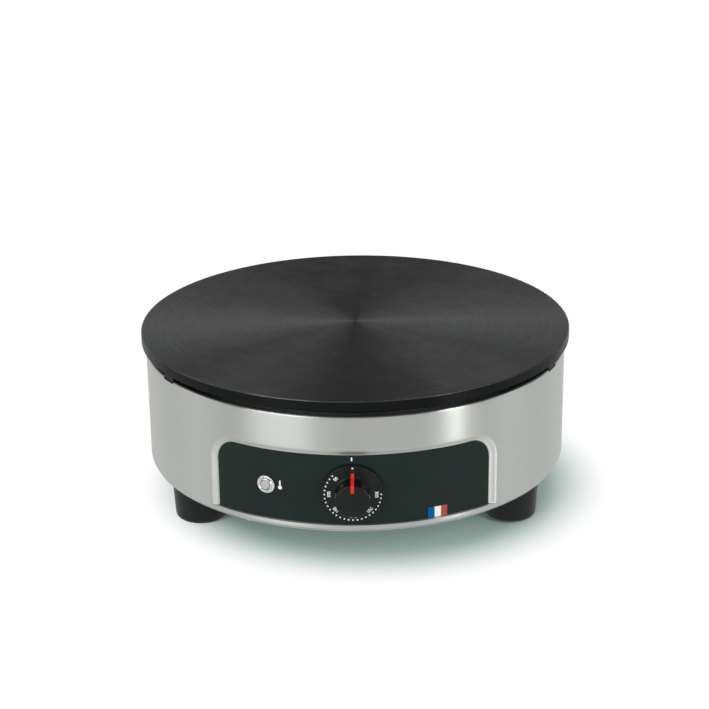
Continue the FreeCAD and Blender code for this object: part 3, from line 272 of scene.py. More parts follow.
def cast_iron():
    finish = Finish("cast_iron")
    radius = finish.radius()
    rings = finish.noise(finish.joined(radius * RING_SCALE, 0.0, 0.0), 1.0, 4.0, 0.7)
    bands = finish.noise(finish.joined(radius * BAND_SCALE, 0.0, 0.0), 1.0, 2.0)
    across = finish.axis("X") / radius
    along = finish.axis("Y") / radius
    rays = finish.noise(finish.joined(across, along, 0.0), RAY_SCALE, 4.0, 0.6)
    scuffed = finish.joined(across * SCUFFS_ROUND, along * SCUFFS_ROUND, radius * SCUFF_SCALE)
    scuffs = finish.noise(scuffed, 1.0, 5.0, 0.7)
    patches = finish.noise(finish.place(), PATCH_SCALE, 4.0, 0.6)
    # The rays noise paints light and dark rays from the centre into the colour, a painted
    # reflection; it also varies the roughness below.
    shade = rays * 0.30 + patches * 0.35 + bands * 0.15 + scuffs * 0.20
    colour = finish.mix(shade, IRON_DARK, IRON_GREY)
    worn = rings * 0.6 + scuffs + patches * 0.6 - 0.6
    roughness = 0.17 + rays * 0.14 + worn * 0.25
    # The top edge turns a lighter, metallic bare grey: real wear, and also a painted highlight
    # along the rim.
    edge = radius.over(PLATE_R - WORN_HIGHLIGHT_EDGE) * finish.axis("Z").over(PLATE_TOP - WORN_HIGHLIGHT_EDGE)
    return finish.surface(
        Base_Color=finish.mix(edge, colour, IRON_WORN_HIGHLIGHT),
        Metallic=edge * 0.9,
        Roughness=roughness,
        Specular_IOR_Level=0.09,
        Anisotropic=0.92,
        Anisotropic_Rotation=0.25,
        Normal=finish.bump(rings + scuffs + patches * 0.5, IRON_RELIEF, 0.7),
    )


print("cast iron ready")

# %% [markdown]
# ## Brushed stainless steel
# The drum is brushed round and round before it is rolled, so its scratches run level. They are
# far too fine to model, so they are noise that is stretched along the azimuth and squeezed in
# height. The same noise changes roughness and colour by a few percent.


# %% Make the brushed steel finish
BRUSH_RELIEF = 0.01 * MM


def brushed_steel(name, colour, rough):
    finish = Finish(name)
    height = finish.axis("Z")
    azimuth = finish.azimuth()
    fine = finish.noise(finish.joined(azimuth * 9, height * 2600, 0.0), 1.0, 3.0)
    broad = finish.noise(finish.joined(azimuth * 2.5, height * 420, 3.0), 1.0, 3.0)
    lines = fine * 0.6 + broad * 0.4
    darker = tuple(value * 0.90 for value in colour)
    return finish.surface(
        Base_Color=finish.mix(lines, darker, colour),
        Metallic=1.0,
        Roughness=rough + lines * 0.06,
        Anisotropic=0.9,
        Anisotropic_Rotation=0.25,
        Normal=finish.bump(lines, BRUSH_RELIEF, 0.3),
    )


print("brushed steel ready")

# %% [markdown]
# ## Plastics, sheet metal and the hidden parts
# Moulded plastic has a very fine grain, sheet metal a cloudy spangle, and wool, ceramic and
# rubber a soft mottling. Three small recipes, each with its own colours and sizes of noise, make
# all of these.


# %% Make the plainer finishes
def moulded(name, colour, rough, grain_size=2600.0, depth=0.02 * MM, coat=0.0, shine=0.2):
    finish = Finish(name)
    grain = finish.noise(finish.place(), grain_size, 2.0)
    wear = finish.noise(finish.place(), 38.0, 4.0, 0.6)
    lighter = tuple(min(1.0, value * 1.25 + 0.004) for value in colour)
    return finish.surface(
        Base_Color=finish.mix(wear, colour, lighter),
        Roughness=rough - 0.05 + wear * 0.10,
        Specular_IOR_Level=shine,
        Coat_Weight=coat,
        Coat_Roughness=0.12,
        Normal=finish.bump(grain, depth, 0.5),
    )


def sheet_metal(name, colour, rough):
    finish = Finish(name)
    spangle = finish.node("ShaderNodeTexVoronoi", {}, {"Vector": finish.place(), "Scale": 120.0}, 1)
    cloud = finish.noise(finish.place(), 55.0, 4.0, 0.6)
    darker = tuple(value * 0.78 for value in colour)
    tint = finish.node("ShaderNodeSeparateColor", {}, [spangle])
    return finish.surface(
        Base_Color=finish.mix(tint * 0.5 + cloud * 0.5, darker, colour),
        Metallic=1.0,
        Roughness=rough + cloud * 0.12,
        Normal=finish.bump(cloud, 0.02 * MM, 0.3),
    )


def mottled(name, colour, rough, scale=180.0, depth=0.1 * MM):
    finish = Finish(name)
    lumps = finish.noise(finish.place(), scale, 5.0, 0.65)
    darker = tuple(value * 0.7 for value in colour)
    return finish.surface(
        Base_Color=finish.mix(lumps, darker, colour),
        Roughness=rough,
        Normal=finish.bump(lumps, depth, 0.6),
    )


FINISHES = {
    "cast_iron": cast_iron(),
    "stainless": brushed_steel("stainless", (0.608, 0.616, 0.598), 0.33),
    "overlay": moulded("overlay", (0.004, 0.012, 0.010), 0.34, 1800.0, 0.01 * MM),
    "knob_black": moulded("knob_black", (0.003, 0.004, 0.004), 0.22, shine=0.25),
    "pointer_red": moulded("pointer_red", (0.72, 0.018, 0.015), 0.30, shine=0.3),
    "chrome": sheet_metal("chrome", (0.86, 0.86, 0.85), 0.14),
    "lens": moulded("lens", (0.46, 0.435, 0.425), 0.18, 1200.0, coat=0.6, shine=0.5),
    "foot_black": moulded("foot_black", (0.008, 0.010, 0.0095), 0.40),
    "zinc": sheet_metal("zinc", (0.62, 0.63, 0.64), 0.28),
    "sheath": sheet_metal("sheath", (0.24, 0.23, 0.22), 0.45),
    "galvanised": sheet_metal("galvanised", (0.52, 0.54, 0.55), 0.38),
    "aluminised": sheet_metal("aluminised", (0.60, 0.61, 0.61), 0.34),
    "mineral_wool": mottled("mineral_wool", (0.66, 0.60, 0.45), 0.95, 260.0, 0.8 * MM),
    "copper": sheet_metal("copper", (0.72, 0.36, 0.20), 0.26),
    "brass": sheet_metal("brass", (0.76, 0.57, 0.26), 0.25),
    "phenolic": moulded("phenolic", (0.045, 0.034, 0.028), 0.45),
    "ceramic": mottled("ceramic", (0.80, 0.77, 0.70), 0.35, 90.0, 0.03 * MM),
    "gland_black": moulded("gland_black", (0.020, 0.021, 0.023), 0.45, 1500.0, 0.04 * MM),
    "seal_rubber": mottled("seal_rubber", (0.026, 0.026, 0.026), 0.75, 400.0, 0.05 * MM),
    "lead_brown": mottled("lead_brown", (0.16, 0.07, 0.035), 0.55),
    "lead_blue": mottled("lead_blue", (0.03, 0.08, 0.30), 0.55),
    "lead_black": mottled("lead_black", (0.020, 0.020, 0.020), 0.55),
}
print("finishes", len(FINISHES))

# %% [markdown]
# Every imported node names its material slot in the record, so one loop dresses them all. The
# pieces that are modelled below take the same finishes.

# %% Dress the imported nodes
for entry in frame["record"]["subparts"]:
    node = frame["nodes"][entry["node"]]
    node.data.materials.clear()
    node.data.materials.append(FINISHES[entry["material_slot"]])

# %% [markdown]
# ## Modelling helpers
# An operator works on whatever is selected, so each helper first clears the selection. Faces and
# edges are then picked in code by where they are.


# %% Write the modelling helpers
MERGE = 0.01 * MM
MERGE_THIN = 0.002 * MM


def select_nothing():
    if bpy.context.object and bpy.context.object.mode != "OBJECT":
        bpy.ops.object.mode_set(mode="OBJECT")
    bpy.ops.object.select_all(action="DESELECT")


def open_for_edit(piece, mode="FACE"):
    select_nothing()
    piece.select_set(True)
    bpy.context.view_layer.objects.active = piece
    bpy.ops.object.mode_set(mode="EDIT")
    bpy.ops.mesh.select_mode(type=mode)
    bpy.ops.mesh.select_all(action="DESELECT")


def close_edit():
    bpy.ops.object.mode_set(mode="OBJECT")


def pick_faces(piece, wanted):
    """Selects the faces whose middle and normal pass the test."""
    mesh = bmesh.from_edit_mesh(piece.data)
    for face in mesh.faces:
        face.select_set(wanted(face.calc_center_median(), face.normal))
    mesh.select_flush_mode()
    bmesh.update_edit_mesh(piece.data)


def pick_edges(piece, wanted):
    """Selects the edges both of whose ends pass the test."""
    mesh = bmesh.from_edit_mesh(piece.data)
    for edge in mesh.edges:
        edge.select_set(all(wanted(end.co) for end in edge.verts))
    bmesh.update_edit_mesh(piece.data)


def name_new(name):
    piece = bpy.context.object
    piece.name = name
    piece.data.name = name
    return piece


def apply_modifier(piece, kind, **settings):
    select_nothing()
    piece.select_set(True)
    bpy.context.view_layer.objects.active = piece
    modifier = piece.modifiers.new(kind.lower(), kind)
    for key, value in settings.items():
        setattr(modifier, key, value)
    bpy.ops.object.modifier_apply(modifier=modifier.name)


def smooth(piece, angle):
    select_nothing()
    piece.select_set(True)
    bpy.context.view_layer.objects.active = piece
    bpy.ops.object.shade_smooth_by_angle(angle=math.radians(angle))


def tidy_mesh(piece, merge=MERGE):
    open_for_edit(piece)
    bpy.ops.mesh.select_all(action="SELECT")
    bpy.ops.mesh.remove_doubles(threshold=merge)
    bpy.ops.mesh.normals_make_consistent(inside=False)
    close_edit()


def settle(piece):
    """Bakes the object's place into its mesh, so that the object itself sits at the origin."""
    piece.data.transform(piece.matrix_world)
    piece.matrix_world = Matrix.Identity(4)


def new_round(name, radius, low, high, points):
    """An upright cylinder from low to high, whose object sits at the origin."""
    select_nothing()
    middle = (low + high) / 2
    bpy.ops.mesh.primitive_cylinder_add(
        vertices=points, radius=radius, depth=high - low, location=(0, 0, middle)
    )
    piece = name_new(name)
    settle(piece)
    return piece


def draw_out(*distance):
    bpy.ops.mesh.extrude_region_move(TRANSFORM_OT_translate={"value": distance})


def thicken(piece, thickness):
    """Gives a sheet on the drum's front its thickness, towards the drum's axis."""
    inward = -1 if piece.data.polygons[0].normal.y < 0 else 1
    apply_modifier(piece, "SOLIDIFY", thickness=thickness, offset=inward)


def outward(radius, height, azimuth=0.0):
    """From a piece made along +Z to its place on the drum, pointing out."""
    stand = Matrix.Rotation(math.radians(90), 4, "X")
    reach = Matrix.Translation((0, -radius, height))
    return Matrix.Rotation(math.radians(azimuth), 4, "Z") @ reach @ stand


def finish_piece(piece, slot, body="base", replaced=(), material=None):
    piece.data.materials.clear()
    piece.data.materials.append(material or FINISHES[slot])
    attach(piece, body)
    if replaced:
        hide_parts(*replaced)
    print(piece.name, "faces", len(piece.data.polygons))


def join_all(pieces, name):
    select_nothing()
    for piece in pieces:
        piece.select_set(True)
    bpy.context.view_layer.objects.active = pieces[0]
    bpy.ops.object.join()
    return name_new(name)


def new_grid(name, columns, rows, place):
    """A flat grid whose points are then laid by place(u, v), both 0 to 1."""
    select_nothing()
    bpy.ops.mesh.primitive_grid_add(x_subdivisions=columns, y_subdivisions=rows, size=1)
    piece = name_new(name)
    for vertex in piece.data.vertices:
        vertex.co = place(vertex.co.x + 0.5, vertex.co.y + 0.5)
    return piece


def on_drum(radius, azimuth, height):
    return Vector((radius * math.sin(azimuth), -radius * math.cos(azimuth), height))


print("modelling helpers ready")

# %% [markdown]
# ## The steel drum
# The real drum is a sheet that is pressed, rolled and welded. Its top edge is turned in, its
# bottom edge is turned in to take the base plate, and a shallow tray with sloping sides is
# pressed into its front for the control panel. No single cut makes that slope, which is wide at
# the sides and narrow above and below. So a fine grid is laid over the profile, as the flat
# sheet is, and each point sinks by how far it lies inside the tray's outline. A wall thickness
# and three notches for the plate's lugs follow.

# %% Lay the drum's sheet
TOP_ROUND = 1.5 * MM
BOTTOM_ROUND = 2.4 * MM
LIP_WIDTH = 5.0 * MM
LIP_DROP = 1.4 * MM
FLANGE_WIDTH = 14.0 * MM
SLOPE_SIDE = 8.5 * MM
SLOPE_TOP = 4.4 * MM
SLOPE_BOTTOM = 0.35 * MM
SLOPE_BOTTOM_AT_SIDES = 3.2 * MM
SLOPE_SOFTNESS = 0.6
DRUM_COLUMNS = 480
FRONT_SHARE = 0.70
FRONT_HALF = math.radians(46)
BOTTOM_STEPS = 8
TOP_STEPS = 5
ROW = 3.0 * MM
FINE_ROW = 0.8 * MM
FINE_REACH = 4 * MM


def drum_azimuth(u):
    """Azimuth of a column: most of the columns stand at the front."""
    side = 2 * u - 1
    if abs(side) <= FRONT_SHARE:
        return side / FRONT_SHARE * FRONT_HALF
    rest = (abs(side) - FRONT_SHARE) / (1 - FRONT_SHARE)
    return math.copysign(FRONT_HALF + rest * (math.pi - FRONT_HALF), side)


def drum_profile():
    """Radius and height from the bottom flange up to the top lip."""
    points = [(BODY_R - FLANGE_WIDTH, BODY_BOTTOM), (BODY_R - BOTTOM_ROUND, BODY_BOTTOM)]
    for step in range(1, BOTTOM_STEPS):
        turn = math.radians(90 * step / BOTTOM_STEPS)
        inward = BOTTOM_ROUND * (1 - math.sin(turn))
        points.append((BODY_R - inward, BODY_BOTTOM + BOTTOM_ROUND * (1 - math.cos(turn))))
    levels = [BODY_BOTTOM + BOTTOM_ROUND]
    while levels[-1] < BODY_TOP - TOP_ROUND:
        corner = PANEL_TOP - PANEL_CORNER < levels[-1] < PANEL_TOP + SLOPE_TOP
        close = abs(levels[-1] - PANEL_BOTTOM) < FINE_REACH
        levels.append(levels[-1] + (FINE_ROW if close or corner else ROW))
    levels[-1] = BODY_TOP - TOP_ROUND
    levels = sorted(levels + [PANEL_BOTTOM - SLOPE_BOTTOM, PANEL_BOTTOM])
    points += [(BODY_R, level) for level in levels]
    for step in range(1, TOP_STEPS + 1):
        turn = math.radians(90 * step / TOP_STEPS)
        inward = TOP_ROUND * (1 - math.cos(turn))
        points.append((BODY_R - inward, BODY_TOP - TOP_ROUND * (1 - math.sin(turn))))
    points.append((BODY_R - LIP_WIDTH, BODY_TOP - LIP_DROP))
    return points


def tray_slope(azimuth, height):
    """0 on the tray's floor, 1 on the drum outside, and between on the slope."""
    across = abs(azimuth) * BODY_R
    side = across - PANEL_HALF_ANGLE * BODY_R
    above = height - PANEL_TOP
    below = PANEL_BOTTOM - height
    past_x = side + PANEL_CORNER
    past_z = above + PANEL_CORNER
    if past_x > 0 and past_z > 0:
        reach = math.hypot(past_x, past_z)
        share = (past_x / reach) ** 2
        width = SLOPE_TOP + (SLOPE_SIDE - SLOPE_TOP) * share
        slope = (reach - PANEL_CORNER) / width
    else:
        slope = max(side / SLOPE_SIDE, above / SLOPE_TOP)
    if slope <= 0:
        return min(1.0, max(0.0, below / SLOPE_BOTTOM))
    width = SLOPE_BOTTOM + slope * SLOPE_BOTTOM_AT_SIDES
    return min(1.0, math.hypot(slope, max(0.0, below) / width))


def eased(share):
    """A slope with a soft start and end."""
    return share * share * (3 - 2 * share) * SLOPE_SOFTNESS + share * (1 - SLOPE_SOFTNESS)


PROFILE = drum_profile()


def drum_point(u, v):
    radius, height = PROFILE[round(v * (len(PROFILE) - 1))]
    azimuth = drum_azimuth(u)
    radius -= RECESS_DEPTH * (1 - eased(tray_slope(azimuth, height)))
    return on_drum(radius, azimuth, height)


drum = new_grid("steel_drum", DRUM_COLUMNS, len(PROFILE) - 1, drum_point)
tidy_mesh(drum)
print("drum sheet", len(drum.data.vertices))

# %% [markdown]
# The wall goes inward, so the outside stays at the real size. Each notch is cut with a small
# block whose lower edges are rounded, as a punch would leave them. Round punches make the holes
# for the knob's shaft, the lamp, the cable gland and the screws of the bottom flange. All the
# punches are joined, so that the drum is cut only once.

# %% Give the drum its wall and notches
LUG_AZIMUTHS = (-57.5, 66.0, 184.0)
NOTCH_WIDTH = 20.0 * MM
NOTCH_BOTTOM = BODY_TOP - 2.3 * MM
NOTCH_TOP = BODY_TOP + 5 * MM
NOTCH_DEPTH = 20 * MM
NOTCH_ROUND = 2.6 * MM
PUNCH_LENGTH = 30 * MM
SHAFT_HOLE_R = 6.0 * MM
LAMP_HOLE_R = 6.3 * MM
GLAND_HOLE_R = 10.2 * MM
SCREW_HOLE_R = 2.15 * MM
SCREW_CIRCLE_R = BODY_R - 7.2 * MM
SCREW_AZIMUTHS = (-151.0, -90.0, -29.0, 29.0, 90.0, 151.0)
gland_low, gland_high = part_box("gland_body")
GLAND_HEIGHT = (gland_low[2] + gland_high[2]) / 2


def faces_point_out(piece):
    widest = max(piece.data.polygons, key=lambda face: abs(face.center.x))
    return widest.normal.x * widest.center.x > 0


apply_modifier(drum, "SOLIDIFY", thickness=SHELL_T, offset=-1 if faces_point_out(drum) else 1)
tidy_mesh(drum, MERGE_THIN)


def notch_punch(azimuth):
    select_nothing()
    height = NOTCH_TOP - NOTCH_BOTTOM
    bpy.ops.mesh.primitive_cube_add(size=1)
    punch = name_new("notch_punch")
    punch.data.transform(Matrix.Diagonal((NOTCH_WIDTH, NOTCH_DEPTH, height, 1)))
    open_for_edit(punch, "EDGE")
    pick_edges(punch, lambda end: end.z < 0)
    mesh = bmesh.from_edit_mesh(punch.data)
    for edge in mesh.edges:
        along_y = abs(edge.verts[0].co.y - edge.verts[1].co.y) > 1 * MM
        edge.select_set(edge.select and along_y)
    bmesh.update_edit_mesh(punch.data)
    bpy.ops.mesh.bevel(offset=NOTCH_ROUND, segments=5)
    close_edit()
    place = Matrix.Translation((0, -BODY_R, NOTCH_BOTTOM + height / 2))
    punch.data.transform(Matrix.Rotation(math.radians(azimuth), 4, "Z") @ place)
    return punch


def round_punch(radius, place):
    select_nothing()
    bpy.ops.mesh.primitive_cylinder_add(vertices=48, radius=radius, depth=PUNCH_LENGTH)
    punch = name_new("round_punch")
    punch.data.transform(place)
    return punch


def panel_punches():
    shaft = round_punch(SHAFT_HOLE_R, outward(BODY_R, KNOB_HEIGHT))
    lamp = round_punch(LAMP_HOLE_R, outward(BODY_R, LAMP_HEIGHT, LAMP_AZIMUTH))
    return [shaft, lamp]


def cut_all(piece, punches):
    punch = join_all(punches, "punches")
    apply_modifier(piece, "BOOLEAN", object=punch, operation="DIFFERENCE", solver="EXACT")
    bpy.data.objects.remove(punch)


punches = [notch_punch(azimuth) for azimuth in LUG_AZIMUTHS] + panel_punches()
punches.append(round_punch(GLAND_HOLE_R, outward(BODY_R, GLAND_HEIGHT, 180)))
for azimuth in SCREW_AZIMUTHS:
    turn = Matrix.Rotation(math.radians(azimuth), 4, "Z")
    place = turn @ Matrix.Translation((0, -SCREW_CIRCLE_R, BODY_BOTTOM))
    punches.append(round_punch(SCREW_HOLE_R, place))
cut_all(drum, punches)
smooth(drum, 40)
finish_piece(drum, "stainless", "base", ["body_shell"])

# %% [markdown]
# ## The control panel
# The panel is a thin printed film, stuck into the tray. It is a grid again, so that its upper
# corners can be round: each column ends at the height that the corner's circle gives.

# %% Model the panel
FILM_T = OVERLAY_R - (BODY_R - RECESS_DEPTH)
PANEL_EDGE_GAP = 0.4 * MM
PANEL_LOWER_GAP = 0.1 * MM
FILM_COLUMNS = 240
FILM_ROWS = 16
CROWDING = 0.9


def film_point(u, v):
    """The columns crowd towards the sides, where the corners need them."""
    half = PANEL_HALF_ANGLE * BODY_R - PANEL_EDGE_GAP
    side = 2 * u - 1
    across = math.copysign(half * math.sin(abs(side) * math.pi / 2) ** CROWDING, side)
    corner = PANEL_CORNER - PANEL_EDGE_GAP
    past = max(0.0, abs(across) - (half - corner))
    top = PANEL_TOP - PANEL_EDGE_GAP - corner + math.sqrt(max(0.0, corner ** 2 - past ** 2))
    bottom = PANEL_BOTTOM + PANEL_LOWER_GAP
    return on_drum(OVERLAY_R, across / BODY_R, bottom + v * (top - bottom))


film = new_grid("panel_film", FILM_COLUMNS, FILM_ROWS, film_point)
tidy_mesh(film)
thicken(film, FILM_T)
tidy_mesh(film, MERGE_THIN)
cut_all(film, panel_punches())
smooth(film, 30)
finish_piece(film, "overlay", "base", ["control_fascia"])

# %% [markdown]
# ## Marks on the panel
# The marks are printed, under a tenth of a millimetre thick: a short tick that the dial is read
# against, a small thermometer beside the lamp, and a sticker of three plain stripes. Each is its
# own thin piece, laid on the film's curve.


# %% Print the marks
INK_T = 0.08 * MM
INK_R = OVERLAY_R + INK_T
INK_ROUGHNESS = 0.35
STRIP_COLUMN = 1.5 * MM
STRIP_ROWS = 2


def printed(name, colour):
    finish = Finish(name)
    speckle = finish.noise(finish.place(), 1400.0, 2.0)
    lighter = tuple(min(1.0, value * 1.06) for value in colour)
    return finish.surface(
        Base_Color=finish.mix(speckle, colour, lighter),
        Roughness=INK_ROUGHNESS + speckle * 0.08,
        Specular_IOR_Level=0.1,
        Normal=finish.bump(speckle, 0.01 * MM, 0.3),
    )


WHITE_INK = printed("white_ink", (0.93, 0.94, 0.93))


def strip_on_drum(name, azimuth, width, low, high, material):
    """A printed rectangle on the film, its sides upright."""
    centre = math.radians(azimuth)

    def place(u, v):
        return on_drum(INK_R, centre + (u - 0.5) * width / BODY_R, low + v * (high - low))

    columns = max(2, round(width / STRIP_COLUMN))
    strip = new_grid(name, columns, STRIP_ROWS, place)
    tidy_mesh(strip)
    thicken(strip, INK_T)
    finish_piece(strip, "overlay", "base", material=material)


TICK_LOW = PLATE_TOP - 57.2 * MM
TICK_HIGH = PLATE_TOP - 53.8 * MM
TICK_AZIMUTH = -0.2
TICK_WIDTH = 1.2 * MM
strip_on_drum("panel_tick", TICK_AZIMUTH, TICK_WIDTH, TICK_LOW, TICK_HIGH, WHITE_INK)

STRIPE_COLOURS = {
    "stripe_blue": (0.001, 0.100, 0.38),
    "stripe_white": (0.92, 0.93, 0.84),
    "stripe_red": (0.48, 0.080, 0.074),
}
STRIPES_FROM = 19.6
STRIPES_TO = 24.9
STRIPES_TOP = PLATE_TOP - 106.8 * MM
STRIPES_BOTTOM = PANEL_BOTTOM + 0.2 * MM
stripe_angle = (STRIPES_TO - STRIPES_FROM) / 3
stripe_width = math.radians(stripe_angle) * BODY_R
for number, (name, colour) in enumerate(STRIPE_COLOURS.items()):
    middle = STRIPES_FROM + stripe_angle * (number + 0.5)
    strip_on_drum(name, middle, stripe_width, STRIPES_BOTTOM, STRIPES_TOP, printed(name, colour))

# %% [markdown]
# The thermometer is a round bulb and a narrow stem with round ends. Both are drawn flat and then
# bent on to the film, by moving each point to the film's radius.

# %% Draw the thermometer
SIGN_AZIMUTH = math.radians(-19.0)
SIGN_LOW = PLATE_TOP - 88.4 * MM
SIGN_HIGH = PLATE_TOP - 79.9 * MM
SIGN_BULB_R = 1.85 * MM
SIGN_STEM = 0.72 * MM
SIGN_OVERLAP = 0.3 * MM
SIGN_END = 0.95 * SIGN_STEM


def lay_on_film(piece, azimuth, height):
    """Wraps a flat piece made in the XY plane on to the drum."""
    for vertex in piece.data.vertices:
        across, up, out = vertex.co
        vertex.co = on_drum(INK_R + out, azimuth + across / BODY_R, height + up)


select_nothing()
bpy.ops.mesh.primitive_circle_add(vertices=28, radius=SIGN_BULB_R, fill_type="NGON")
bulb = name_new("thermometer_bulb")
select_nothing()
bpy.ops.mesh.primitive_plane_add(size=1)
stem = name_new("thermometer_stem")
stem_top = SIGN_HIGH - SIGN_LOW - SIGN_BULB_R
stem_base = SIGN_BULB_R - SIGN_OVERLAP
stem.data.transform(Matrix.Diagonal((2 * SIGN_STEM, stem_top - stem_base, 1, 1)))
stem.data.transform(Matrix.Translation((0, (stem_top + stem_base) / 2, 0)))
open_for_edit(stem, "VERT")
bpy.ops.mesh.select_all(action="SELECT")
bpy.ops.mesh.bevel(offset=SIGN_END, segments=4, affect="VERTICES")
close_edit()
for part in (bulb, stem):
    apply_modifier(part, "SOLIDIFY", thickness=INK_T, offset=-1)
    lay_on_film(part, SIGN_AZIMUTH, SIGN_LOW + SIGN_BULB_R)
    finish_piece(part, "overlay", "base", material=WHITE_INK)

# %% [markdown]
# ## The knob
# Skirt and grip are one moulding. It starts as a low cylinder. The top face is inset to the
# grip's width, lifted a little so that the skirt is a flat cone, drawn up into the grip and
# narrowed. A small steeper cone is left where grip meets skirt, which catches the light as a thin
# bright ring. Bevels then give the soft face edge and the rounded skirt edge.

# %% Model the knob
DIAL_R = (knob_high[0] - knob_low[0]) / 2
DIAL_EDGE_T = 2.2 * MM
DIAL_CONE = 0.8 * MM
GRIP_BASE_R = 15.8 * MM
GRIP_FACE_R = 15.0 * MM
KNOB_BACK = -knob_high[1]
KNOB_DEPTH = knob_high[1] - knob_low[1]
SKIRT_H = DIAL_EDGE_T + DIAL_CONE
BEAD_WIDTH = 1.0 * MM
BEAD_RISE = 0.55 * MM
GRIP_RISE = KNOB_DEPTH - SKIRT_H - BEAD_RISE
KNOB_POINTS = 128
SAME_LEVEL = 0.02 * MM
SAME_RADIUS = 0.1 * MM


def faces_up(middle, normal):
    return normal.z > 0.9


knob = new_round("knob_moulding", DIAL_R, 0, DIAL_EDGE_T, KNOB_POINTS)
open_for_edit(knob)
pick_faces(knob, faces_up)
bpy.ops.mesh.inset(thickness=DIAL_R - GRIP_BASE_R - BEAD_WIDTH)
bpy.ops.transform.translate(value=(0, 0, DIAL_CONE))
bpy.ops.mesh.inset(thickness=BEAD_WIDTH, depth=BEAD_RISE)
draw_out(0, 0, GRIP_RISE)
narrow = GRIP_FACE_R / GRIP_BASE_R
bpy.ops.transform.resize(value=(narrow, narrow, 1))
close_edit()

KNOB_ROUNDS = (
    (KNOB_DEPTH, GRIP_FACE_R, 1.3 * MM, 6),
    (DIAL_EDGE_T, DIAL_R, 0.6 * MM, 4),
)


def on_ring(end, level, radius):
    off = math.hypot(end.x, end.y) - radius
    return abs(end.z - level) < SAME_LEVEL and abs(off) < SAME_RADIUS


for level, radius, size, steps in KNOB_ROUNDS:
    open_for_edit(knob, "EDGE")
    pick_edges(knob, lambda end: on_ring(end, level, radius))
    bpy.ops.mesh.bevel(offset=size, segments=steps)
    close_edit()
print("knob faces", len(knob.data.polygons))

# %% [markdown]
# The red pointer lies in a slot that runs from the skirt over the grip's side on to its face.
# One block cuts the slot, and a thinner one fills it and stands a little proud.


# %% Cut the slot and fill it
POINTER_WIDTH = 3.0 * MM
POINTER_ON_DIAL = 3.8 * MM
POINTER_ON_FACE = 7.1 * MM
POINTER_PROUD = 0.3 * MM
POINTER_DEPTH = 1.0 * MM
POINTER_PLAY = 0.04 * MM
SLOT_CLEARANCE = 1.5 * MM


def pointer_outline(lift, sink):
    """The pointer seen from the side, from the skirt over the grip to its face and back."""
    slope = DIAL_CONE / (DIAL_R - GRIP_BASE_R)
    dial_y = GRIP_BASE_R + POINTER_ON_DIAL
    face_y = GRIP_FACE_R - POINTER_ON_FACE
    dial_h = SKIRT_H - slope * POINTER_ON_DIAL
    return [
        (dial_y, dial_h + lift),
        (GRIP_BASE_R + lift, SKIRT_H + lift),
        (GRIP_FACE_R + lift, KNOB_DEPTH + lift),
        (face_y, KNOB_DEPTH + lift),
        (face_y, KNOB_DEPTH - sink),
        (GRIP_FACE_R - sink, KNOB_DEPTH - sink),
        (GRIP_BASE_R - sink, SKIRT_H - sink),
        (dial_y, dial_h - sink),
    ]


def pointer_block(name, width, lift, sink):
    """A flat circle of as many points as the outline has, laid on it and drawn sideways."""
    outline = pointer_outline(lift, sink)
    select_nothing()
    bpy.ops.mesh.primitive_circle_add(vertices=len(outline), radius=1, fill_type="NGON")
    block = name_new(name)
    for vertex, (y, z) in zip(block.data.vertices, outline):
        vertex.co = (-width / 2, y, z)
    open_for_edit(block)
    bpy.ops.mesh.select_all(action="SELECT")
    draw_out(width, 0, 0)
    bpy.ops.mesh.select_all(action="SELECT")
    bpy.ops.mesh.normals_make_consistent(inside=False)
    close_edit()
    return block


slot_block = pointer_block("slot_block", POINTER_WIDTH, SLOT_CLEARANCE, POINTER_DEPTH)
apply_modifier(knob, "BOOLEAN", object=slot_block, operation="DIFFERENCE", solver="EXACT")
bpy.data.objects.remove(slot_block)
pointer_width = POINTER_WIDTH - POINTER_PLAY
pointer = pointer_block("knob_pointer_strip", pointer_width, POINTER_PROUD, POINTER_DEPTH)
apply_modifier(pointer, "BEVEL", width=0.28 * MM, segments=3, limit_method="ANGLE")
KNOB_PARTS = ((knob, "knob_black", "knob"), (pointer, "pointer_red", "knob_pointer"))
for part, slot, replaced in KNOB_PARTS:
    part.data.transform(outward(KNOB_BACK, KNOB_HEIGHT))
    smooth(part, 32)
    finish_piece(part, slot, "dial", [replaced])

# %% [markdown]
# ## Numbers and dots on the dial
# The dial turns past the fixed tick, so its scale runs the other way round: 50 degrees stands an
# eighth of a turn to the left of the top, and every dot is 10 degrees of heat. The numbers are
# text that is turned into mesh. Each is turned so that its top points out, and it sinks with the
# cone of the skirt.

# %% Print the scale
DOT_RING_R = 24.4 * MM
NUMBER_RING_R = 20.1 * MM
NUMBER_SIZE = 4.8 * MM
DOT_R = 0.74 * MM
DOT_EVERY = 9.0
FIRST_MARK = 45.0
LAST_MARK = 270.0
NUMBER_EVERY = 45.0
HEAT_EVERY = 50
SCALE_INK_T = 0.06 * MM
DOT_RIM = 0.12 * MM
NUMBER_SWELL = 0.15 * MM
NUMBER_SPACING = 0.94
NUMBER_NARROWING = 0.86


def dial_height(radius):
    share = (DIAL_R - radius) / (DIAL_R - GRIP_BASE_R)
    return DIAL_EDGE_T + DIAL_CONE * share + SCALE_INK_T


def put_on_dial(piece, angle, radius):
    """The angle is counted to the left from the top, as the dial's own scale is."""
    turn = Matrix.Rotation(math.radians(angle), 4, "Z")
    piece.data.transform(turn @ Matrix.Translation((0, radius, dial_height(radius))))
    piece.data.transform(outward(KNOB_BACK, KNOB_HEIGHT))


def scale_dot(angle):
    select_nothing()
    bpy.ops.mesh.primitive_cylinder_add(vertices=20, radius=DOT_R, depth=2 * SCALE_INK_T)
    dot = name_new("scale_dot")
    open_for_edit(dot)
    pick_faces(dot, faces_up)
    bpy.ops.mesh.inset(thickness=DOT_RIM)
    close_edit()
    put_on_dial(dot, angle, DOT_RING_R)
    return dot


